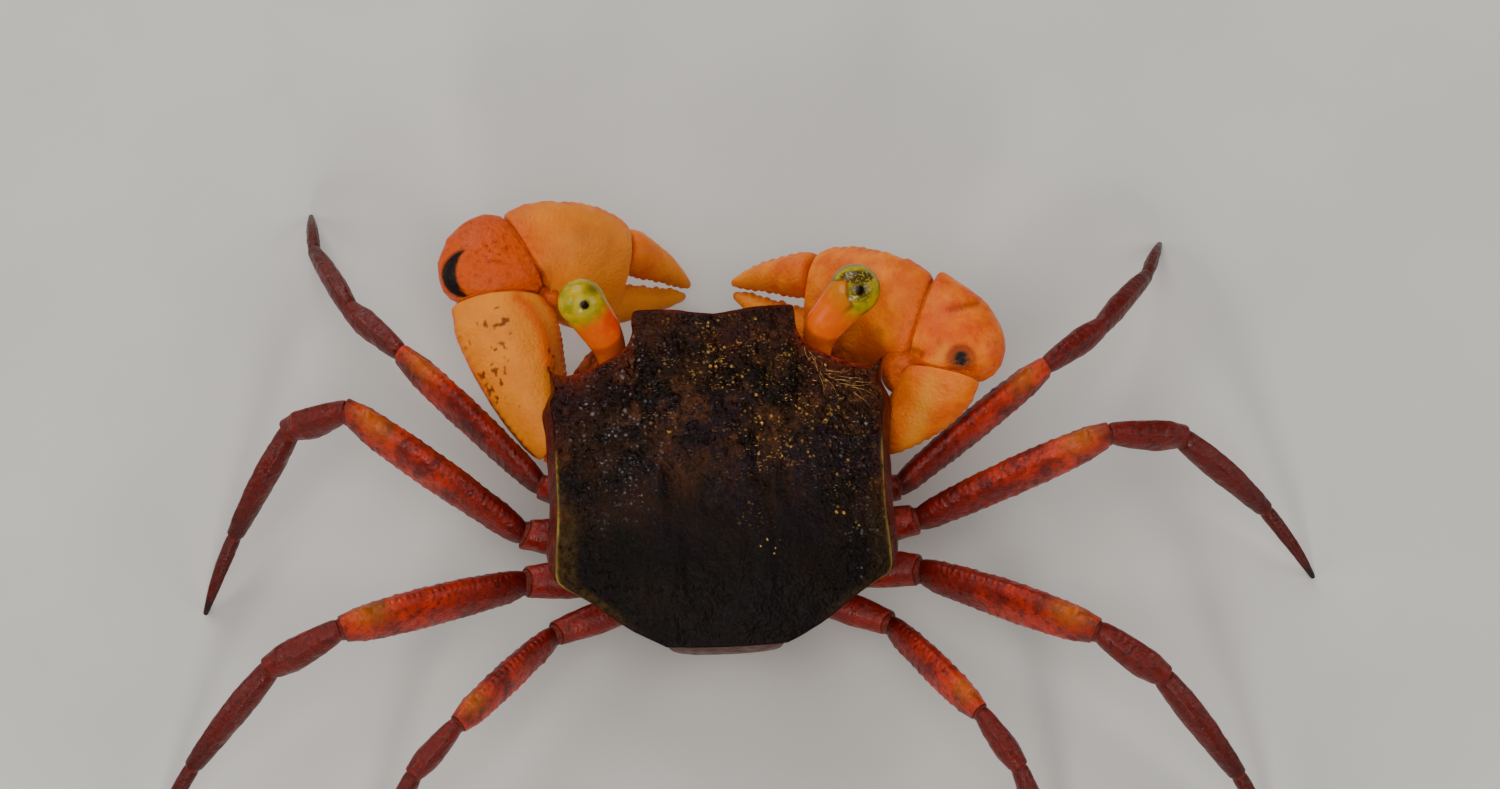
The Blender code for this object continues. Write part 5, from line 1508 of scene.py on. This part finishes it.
def arm_sweep(start, start_normal, elbow, way, bow):
    pivot, first, _, axis = elbow
    outward = first.normalized()
    end_normal = axis.cross(outward)
    start = start + start_normal * (GAP / 2)
    end = pivot + first / 2 - end_normal * (GAP / 2)
    first_wide, first_deep = lean_to(outward, way, start_normal), lean_to(axis, way, start_normal)

    def at(share):
        half_wide, half_deep = spline(MERUS_GIRTH, share)
        wide = mix(first_wide, outward, share) * (half_wide * first.length)
        centre = mix(start, end, share) + outward * (bow * math.sin(math.pi * share))
        return centre, wide, mix(first_deep, axis, share) * half_deep, LIMB_POWER, ARM_KEEL

    return Sweep(at, (end - start).length)


def elbow_sweep(elbow, bulge):
    pivot, first, last, axis = elbow
    whole = first.angle(last)
    margin = GAP / bulge

    def at(share):
        swell_now = math.sin(math.pi * min(max(share, 0), 1))
        outward = Matrix.Rotation(mix(margin, whole - margin, share), 3, axis) @ first.normalized()
        edge_reach = mix(first.length, last.length, share) * EDGE_REACH
        reach = mix(edge_reach, bulge, swell_now ** ELBOW_SHOULDER)
        centre = pivot + outward * (ELBOW_INSIDE + reach) / 2
        deep = axis * ARM_HALF_DEPTH * mix(1.0, ELBOW_DEPTH, swell_now)
        return centre, outward * (reach - ELBOW_INSIDE) / 2, deep, ELBOW_POWER, 0.0

    return Sweep(at, (whole - 2 * margin) * (first.length + last.length) / 4)


def chela_frame(elbow, tip, lean):
    pivot, _, last, axis = elbow
    start = pivot + last / 2 + axis.cross(last).normalized() * (GAP / 2)
    way = (tip - start).normalized()
    angle = math.radians(lean)
    rise = Vector((0, -math.sin(angle), math.cos(angle)))
    rise = (rise - way * rise.dot(way)).normalized()
    through = way.cross(rise).normalized()
    if through.dot(axis) < 0:
        through.negate()
    return start, way, rise, through, (tip - start).length


def softened(stops, spread=0.02, steps=400):
    """The stops joined by straight lines, then rounded over the spread: a finer list of stops."""
    rows = np.array(stops, float)
    at = np.linspace(rows[0, 0], rows[-1, 0], steps)
    values = straight(stops, at)
    reach = max(1, int(spread / (at[1] - at[0])))
    kernel = np.hanning(2 * reach + 3)[1:-1]
    kernel /= kernel.sum()
    before, after = 2 * values[0] - values[reach:0:-1], 2 * values[-1] - values[-2:-reach - 2:-1]
    padded = np.vstack([before, values, after])
    rounded = np.stack([np.convolve(column, kernel, "valid") for column in padded.T], axis=-1)
    return np.column_stack([at, rounded])


PALM_STOPS = softened(PALM_GIRTH + FIXED_FINGER)
FINGER_STOPS = softened(MOVABLE_FINGER)


def palm_sweep(chela, elbow):
    start, way, rise, through, length = chela
    _, _, last, axis = elbow

    def at(share):
        middle, tall, thick = straight(PALM_STOPS, share)
        turned = float(ease(share / PALM_TURN))
        upward = mix(last.normalized(), rise, turned).normalized()
        across = mix(axis, through, turned).normalized()
        return start + way * (length * share) + rise * middle, upward * tall, across * thick, LIMB_POWER, 0.0

    return Sweep(at, length)


def finger_sweep(chela):
    start, way, rise, through, length = chela

    def at(share):
        place = mix(FINGER_START, FINGER_END, share)
        middle, tall, thick = straight(FINGER_STOPS, place)
        return start + way * (length * place) + rise * middle, rise * tall, through * thick, FINGER_POWER, 0.0

    return Sweep(at, length * (FINGER_END - FINGER_START))


def stroke(pixels, line, width):
    """1 along a line drawn in the photograph's pixels, fading over the width."""
    line = np.array(line, float)
    nearest = np.full(len(pixels), np.inf)
    for a, b in zip(line[:-1], line[1:]):
        share = np.clip((pixels - a) @ (b - a) / ((b - a) @ (b - a)), 0, 1)
        nearest = np.minimum(nearest, np.linalg.norm(pixels - a - share[:, None] * (b - a), axis=1))
    return hump(nearest, width)


def spot(pixels, x, y, wide, tall):
    """1 in the middle of an oval in the photograph's pixels, fading outwards."""
    return hump(np.hypot((pixels[:, 0] - x) / wide, (pixels[:, 1] - y) / tall), 1.0)


# Marks of the chelipeds, and highlights painted on them, where they show in the photograph, in its pixels
ORANGE_RIDGE = ((517, 296), (528, 308), (542, 330), (549, 363))
BLACK_CRESCENT = ((466, 274, 24.5), (486, 272, 30.0))  # its outer and its inner circle
SPECKED = ((497, 335, 19, 38), (487, 385, 16, 24))
ROUGH_WRIST = (497, 257, 44, 44)
HINGE_PIT = (539, 274, 9, 7)
# a painted highlight along the right merus
MERUS_HIGHLIGHT = ((930, 383), (921, 415), (908, 454))
BLACK_DOT = (961, 359, 12)
DOT_EDGE, MARK_EDGE = 6, 3  # pixels over which the dot and the crescent fade
# painted highlights where the elbow looks wet
WET_HIGHLIGHT = ((934, 364), (946, 349))
WRIST_LINES = (((903, 344), (921, 353)), ((899, 377), (924, 387)), ((950, 309), (977, 303)))
WRIST_BORDER = ((926, 283), (916, 310), (904, 338))


def arm_detail(piece, length, side):
    """Relief, marks and painted highlights of one piece of a cheliped. Angle 0 is the first half axis of its
    rings.
    """
    def detail(share, angle, points, shown):
        pixels = in_picture(points)
        zero = np.zeros_like(share)
        masks = blank_masks(zero)
        heights = 0.014 * noise(points, 0.5, 41) + 0.006 * noise(points, 0.16, 42)
        beads = bead_row(share * length, 0.30)
        if piece == "merus":
            heights += 0.045 * beads * (top_ness(angle, 180, 50) + top_ness(angle, 0, 50))
            masks["mottle"] = 0.2
            if side == LEFT:
                ridge = stroke(pixels, ORANGE_RIDGE, 8) * shown
                near = np.clip(sum(1.4 * spot(pixels, *place) for place in SPECKED), 0.05, 1)
                near = ease((near + noise(points, 0.6, 44) - 0.5) / 0.3)
                dots = ease((noise(points, 0.16, 43) - 0.30) / 0.15) * near
                masks["cream"] = 0.70 * shown * (1 - 0.8 * ridge)
                masks["speck"] = 0.9 * shown * dots
                masks["deep"] = 0.9 * ridge + 0.5 * (1 - shown)
                heights += 0.09 * ridge
            else:
                # painted highlight: a pale streak along the merus
                masks["cream"] = shown * (0.15 + 0.75 * stroke(pixels, MERUS_HIGHLIGHT, 10))
                masks["deep"] = 0.35
        elif piece == "carpus":
            grain = np.maximum(0, noise(points, 0.20, 45)) ** 1.5
            rough = 1.0 if side == LEFT else 0.45
            heights += rough * (0.055 * grain + 0.035 * noise(points, 0.6, 46))
            masks["deep"] = (0.95 if side == LEFT else 0.35) + 0.3 * noise(points, 0.9, 47)
            masks["mottle"] = rough * (0.40 + 0.45 * ease(noise(points, 0.8, 50) * 2))
            if side == LEFT:
                outer, inner = (depth_inside(pixels, *circle) for circle in BLACK_CRESCENT)
                crescent = ease(outer / MARK_EDGE + 0.5) * ease(0.5 - inner / MARK_EDGE) * shown
                masks["black"] = crescent
                masks["dark"] = 0.20 * shown
                heights -= 0.06 * crescent
            else:
                dot = depth_inside(pixels, *BLACK_DOT)
                lines = np.clip(sum(stroke(pixels, line, 4) for line in WRIST_LINES), 0, 1) * shown
                masks["black"] = ease(dot / DOT_EDGE) * shown
                masks["dark"] = np.clip(0.85 * hump(dot, 4) * shown + 0.6 * lines, 0, 1)
                # painted wet highlight on the carpus
                masks["cream"] = 0.6 * stroke(pixels, WET_HIGHLIGHT, 7) * shown
                heights -= 0.03 * lines
        return heights, zero, masks
    return detail


def tooth_row(place, angle, around, teeth, length):
    """Round teeth along a cutting edge; place runs along the whole chela, whose length is given."""
    row = np.zeros_like(place)
    for at, height in teeth:
        row = np.maximum(row, height * hump((place - at) * length, 0.13))
    return row * top_ness(angle, around, 14)


def hand_detail(piece, length, side):
    """Relief and marks of the palm with its fixed finger, or of the movable finger. Angle 0 is up."""
    def detail(share, angle, points, shown):
        pixels = in_picture(points)
        zero = np.zeros_like(share)
        masks = blank_masks(zero)
        heights = 0.012 * noise(points, 0.7, 51) + 0.006 * noise(points, 0.18, 52)
        beads = bead_row(share * length, 0.36)
        if piece == "palm":
            heights += tooth_row(share, angle, 0, FIXED_TEETH, length)
            crest = top_ness(angle, 0, 60) * (1 - ease((share - 0.42) / 0.1))
            heights += 0.04 * beads * crest
            grain = ease((np.maximum(0, noise(points, 0.22, 53)) - 0.2) / 0.5)
            heights += 0.03 * grain * top_ness(angle, 0, 3)
            finger = ease((share - 0.50) / 0.35)
            start = 1 - ease(share / 0.16)
            if side == LEFT:
                rough = np.clip(1.5 * spot(pixels, *ROUGH_WRIST), 0, 1) * shown
                pit = spot(pixels, *HINGE_PIT) * shown
                masks["deep"] = np.clip(0.9 * rough + 0.4 * start, 0, 1)
                masks["cream"] = np.clip(0.60 * shown * (1 - rough) + 0.4 * finger, 0, 0.85)
                masks["mottle"] = 0.5 * rough
                masks["dark"] = 0.9 * pit
                heights += 0.04 * rough * np.maximum(0, noise(points, 0.2, 54))
            else:
                border = stroke(pixels, WRIST_BORDER, 8) * shown
                masks["deep"] = np.clip(0.45 * start + border, 0, 1)
                masks["cream"] = 0.16 * shown + 0.45 * finger
                masks["mottle"] = 0.6 * border
                heights += 0.05 * border * noise(points, 0.2, 54)
            tip = ease((share - 0.97) / 0.02)
        else:
            place = mix(FINGER_START, FINGER_END, share)
            chela_length = length / (FINGER_END - FINGER_START)
            heights += tooth_row(place, angle, 180, MOVABLE_TEETH, chela_length)
            tubercles = bead_row(share * length, 0.42) ** 2 * top_ness(angle, 0, 70)
            heights += 0.05 * tubercles * (1 - ease((share - 0.7) / 0.2))
            masks["cream"] = (0.25 if side == LEFT else 0.10) + 0.40 * ease((share - 0.2) / 0.5)
            masks["deep"] = 0.4 * (1 - ease(share / 0.3))
            tip = ease((share - 0.96) / 0.03)
        masks["dark"] = np.maximum(masks["dark"], 0.5 * tip)
        return heights, zero, masks
    return detail


SKIN_DEPTH = 0.4  # how far the skin inside the elbow lies below the joint's middle
ELBOW_ARC = 86  # degrees from its widest ring to its last one


def elbow_skin(name, elbow, radius, material):
    """The soft skin that fills the inside of the elbow."""
    pivot, first, last, axis = elbow
    outward = (first.normalized() + last.normalized()).normalized()
    across = axis.cross(outward)
    rings = []
    for degrees in np.linspace(-ELBOW_ARC, ELBOW_ARC, ELBOW_ROWS):
        angle = math.radians(degrees)
        size = radius * math.cos(angle)
        centre = pivot - UP * SKIN_DEPTH + axis * (radius * 0.9 * math.sin(angle))
        rings.append(section(centre, outward * size, across * size, ELBOW_SIDES))
    points, faces = closed_tube(np.stack(rings))
    mesh = build_mesh(name, points, faces)
    raise_surface(mesh, 0.05 * noise(points, 0.45, 61))
    add_piece(mesh, material)


def cheliped_pieces(side, word, look, skin):
    plan = CHELIPEDS[side]
    ischium, pivot = Vector(plan["ischium"]), Vector(plan["pivot"])
    first, last = Vector(plan["merus_edge"]) - pivot, Vector(plan["palm_edge"]) - pivot
    elbow = (pivot, first, last, first.cross(last).normalized())
    arm = (pivot + first / 2 - ischium).normalized()
    base_normal = ((ischium - root_of(side, 0)).normalized() + arm).normalized()
    chela = chela_frame(elbow, Vector(plan["tip"]), plan["lean"])
    prefix = f"cheliped_{word}"
    base = base_piece(f"{prefix}_base_shell", ischium, base_normal, side, 0, CHELIPED_BASE, 1.0,
                      look, f"{prefix}_base")
    merus = arm_sweep(ischium, base_normal, elbow, arm, plan["bow"])
    carpus = elbow_sweep(elbow, plan["bulge"])
    palm, finger = palm_sweep(chela, elbow), finger_sweep(chela)
    for piece, sweep, kind, tip in (
        ("merus", merus, arm_detail, False), ("carpus", carpus, arm_detail, False),
        ("palm", palm, hand_detail, True), ("finger", finger, hand_detail, True),
    ):
        limb_piece(f"{prefix}_{piece}_shell", sweep, look, f"{prefix}_{piece}",
                   kind(piece, sweep.length, side), ARM_ROWS[piece], tip, sides=ARM_SIDES)
    elbow_skin(f"{prefix}_elbow_skin", elbow, plan["skin"], skin)
    for piece, before, after in (("merus", base, merus), ("carpus", merus, carpus), ("palm", carpus, palm)):
        membrane_piece(f"{prefix}_{piece}_joint", before, after, skin)


# Camera, light and floor

FLOOR_HALF = 3.0
SKY, SKY_STRENGTH = (0.93, 0.95, 1.0, 1), 0.18
LAMPS = (  # name, place in metres, size, power, colour
    ("key", (0.030, 0.256, 0.151), 0.055, 0.36, (1.0, 0.96, 0.90)),
    ("front", (0.09, -0.24, 0.20), 0.24, 0.62, (1.0, 0.97, 0.93)),
    ("top", (0.02, 0.09, 0.28), 0.20, 0.30, (1.0, 0.97, 0.93)),
    ("left_fill", (0.27, 0.03, 0.17), 0.20, 0.36, (1.0, 0.95, 0.88)),
    ("right_fill", (-0.26, 0.03, 0.17), 0.20, 0.34, (1.0, 0.95, 0.88)),
)


def add_camera():
    data = bpy.data.cameras.new("camera")
    data.lens, data.sensor_width = LENS, SENSOR
    data.clip_start, data.clip_end = 0.01, 10
    camera = bpy.data.objects.new("camera", data)
    bpy.context.collection.objects.link(camera)
    place = camera_place() - FEET_MIDDLE
    camera.matrix_world = Matrix.Translation(place * MM) @ camera_turn().to_4x4()
    bpy.context.scene.camera = camera


def add_lamp(name, place, size, power, colour):
    data = bpy.data.lights.new(name, "AREA")
    data.shape = "DISK"
    data.size, data.energy, data.color = size, power, colour
    lamp = bpy.data.objects.new(name, data)
    lamp.location = place
    lamp.rotation_euler = (-Vector(place)).to_track_quat("-Z", "Y").to_euler()
    bpy.context.collection.objects.link(lamp)


def add_stage():
    mesh = bpy.data.meshes.new("floor")
    corners = [(x * FLOOR_HALF, y * FLOOR_HALF, 0) for x, y in ((-1, -1), (1, -1), (1, 1), (-1, 1))]
    mesh.from_pydata(corners, [], [(0, 1, 2, 3)])
    floor = bpy.data.objects.new("floor", mesh)
    bpy.context.collection.objects.link(floor)
    mesh.materials.append(plain_look("pale_floor", (0.52, 0.51, 0.49), (0.56, 0.55, 0.53), size=9.0,
                                     bump=0.0005, roughness=(0.7, 0.8)))
    world = bpy.data.worlds.new("studio")
    world.use_nodes = True
    backdrop = world.node_tree.nodes["Background"]
    backdrop.inputs["Color"].default_value = SKY
    backdrop.inputs["Strength"].default_value = SKY_STRENGTH
    bpy.context.scene.world = world
    for lamp in LAMPS:
        add_lamp(*lamp)


def build():
    shell = shell_look()
    under = limb_look("underside_shell", (0.26, 0.062, 0.014), (0.15, 0.024, 0.006), (0.035, 0.005, 0.002))
    arm = limb_look("orange_shell", (0.80, 0.195, 0.003), (0.60, 0.076, 0.001), (0.20, 0.014, 0.001),
                    specular=0.16, Subsurface_Weight=0.10, Subsurface_Scale=0.0006)
    leg = limb_look("red_shell", (0.44, 0.019, 0.002), (0.130, 0.0036, 0.001), (0.034, 0.002, 0.001),
                    Subsurface_Weight=0.06, Subsurface_Scale=0.0004)
    arm_skin = plain_look("orange_joint_skin", (0.46, 0.056, 0.002), (0.62, 0.110, 0.003), size=0.2,
                          Specular_IOR_Level=0.2)
    leg_skin = plain_look("red_joint_skin", (0.07, 0.004, 0.001), (0.15, 0.010, 0.002), size=0.2,
                          Specular_IOR_Level=0.25)
    eye = eye_look()
    carapace_piece(shell)
    bristles_piece(plain_look("golden_bristles", (0.20, 0.09, 0.015), (0.46, 0.24, 0.05), size=0.2,
                              bump=0.002))
    thorax_piece(under)
    tail_piece(under)
    for side, word in SIDES:
        maxilliped_piece(side, word, under)
        eye_piece(side, word, eye)
        antenna_piece(side, word, under)
        cheliped_pieces(side, word, arm, arm_skin)
        for name in LEG_SCALE:
            leg_pieces(name, side, word, leg, leg_skin)
    add_stage()
    add_camera()


build()
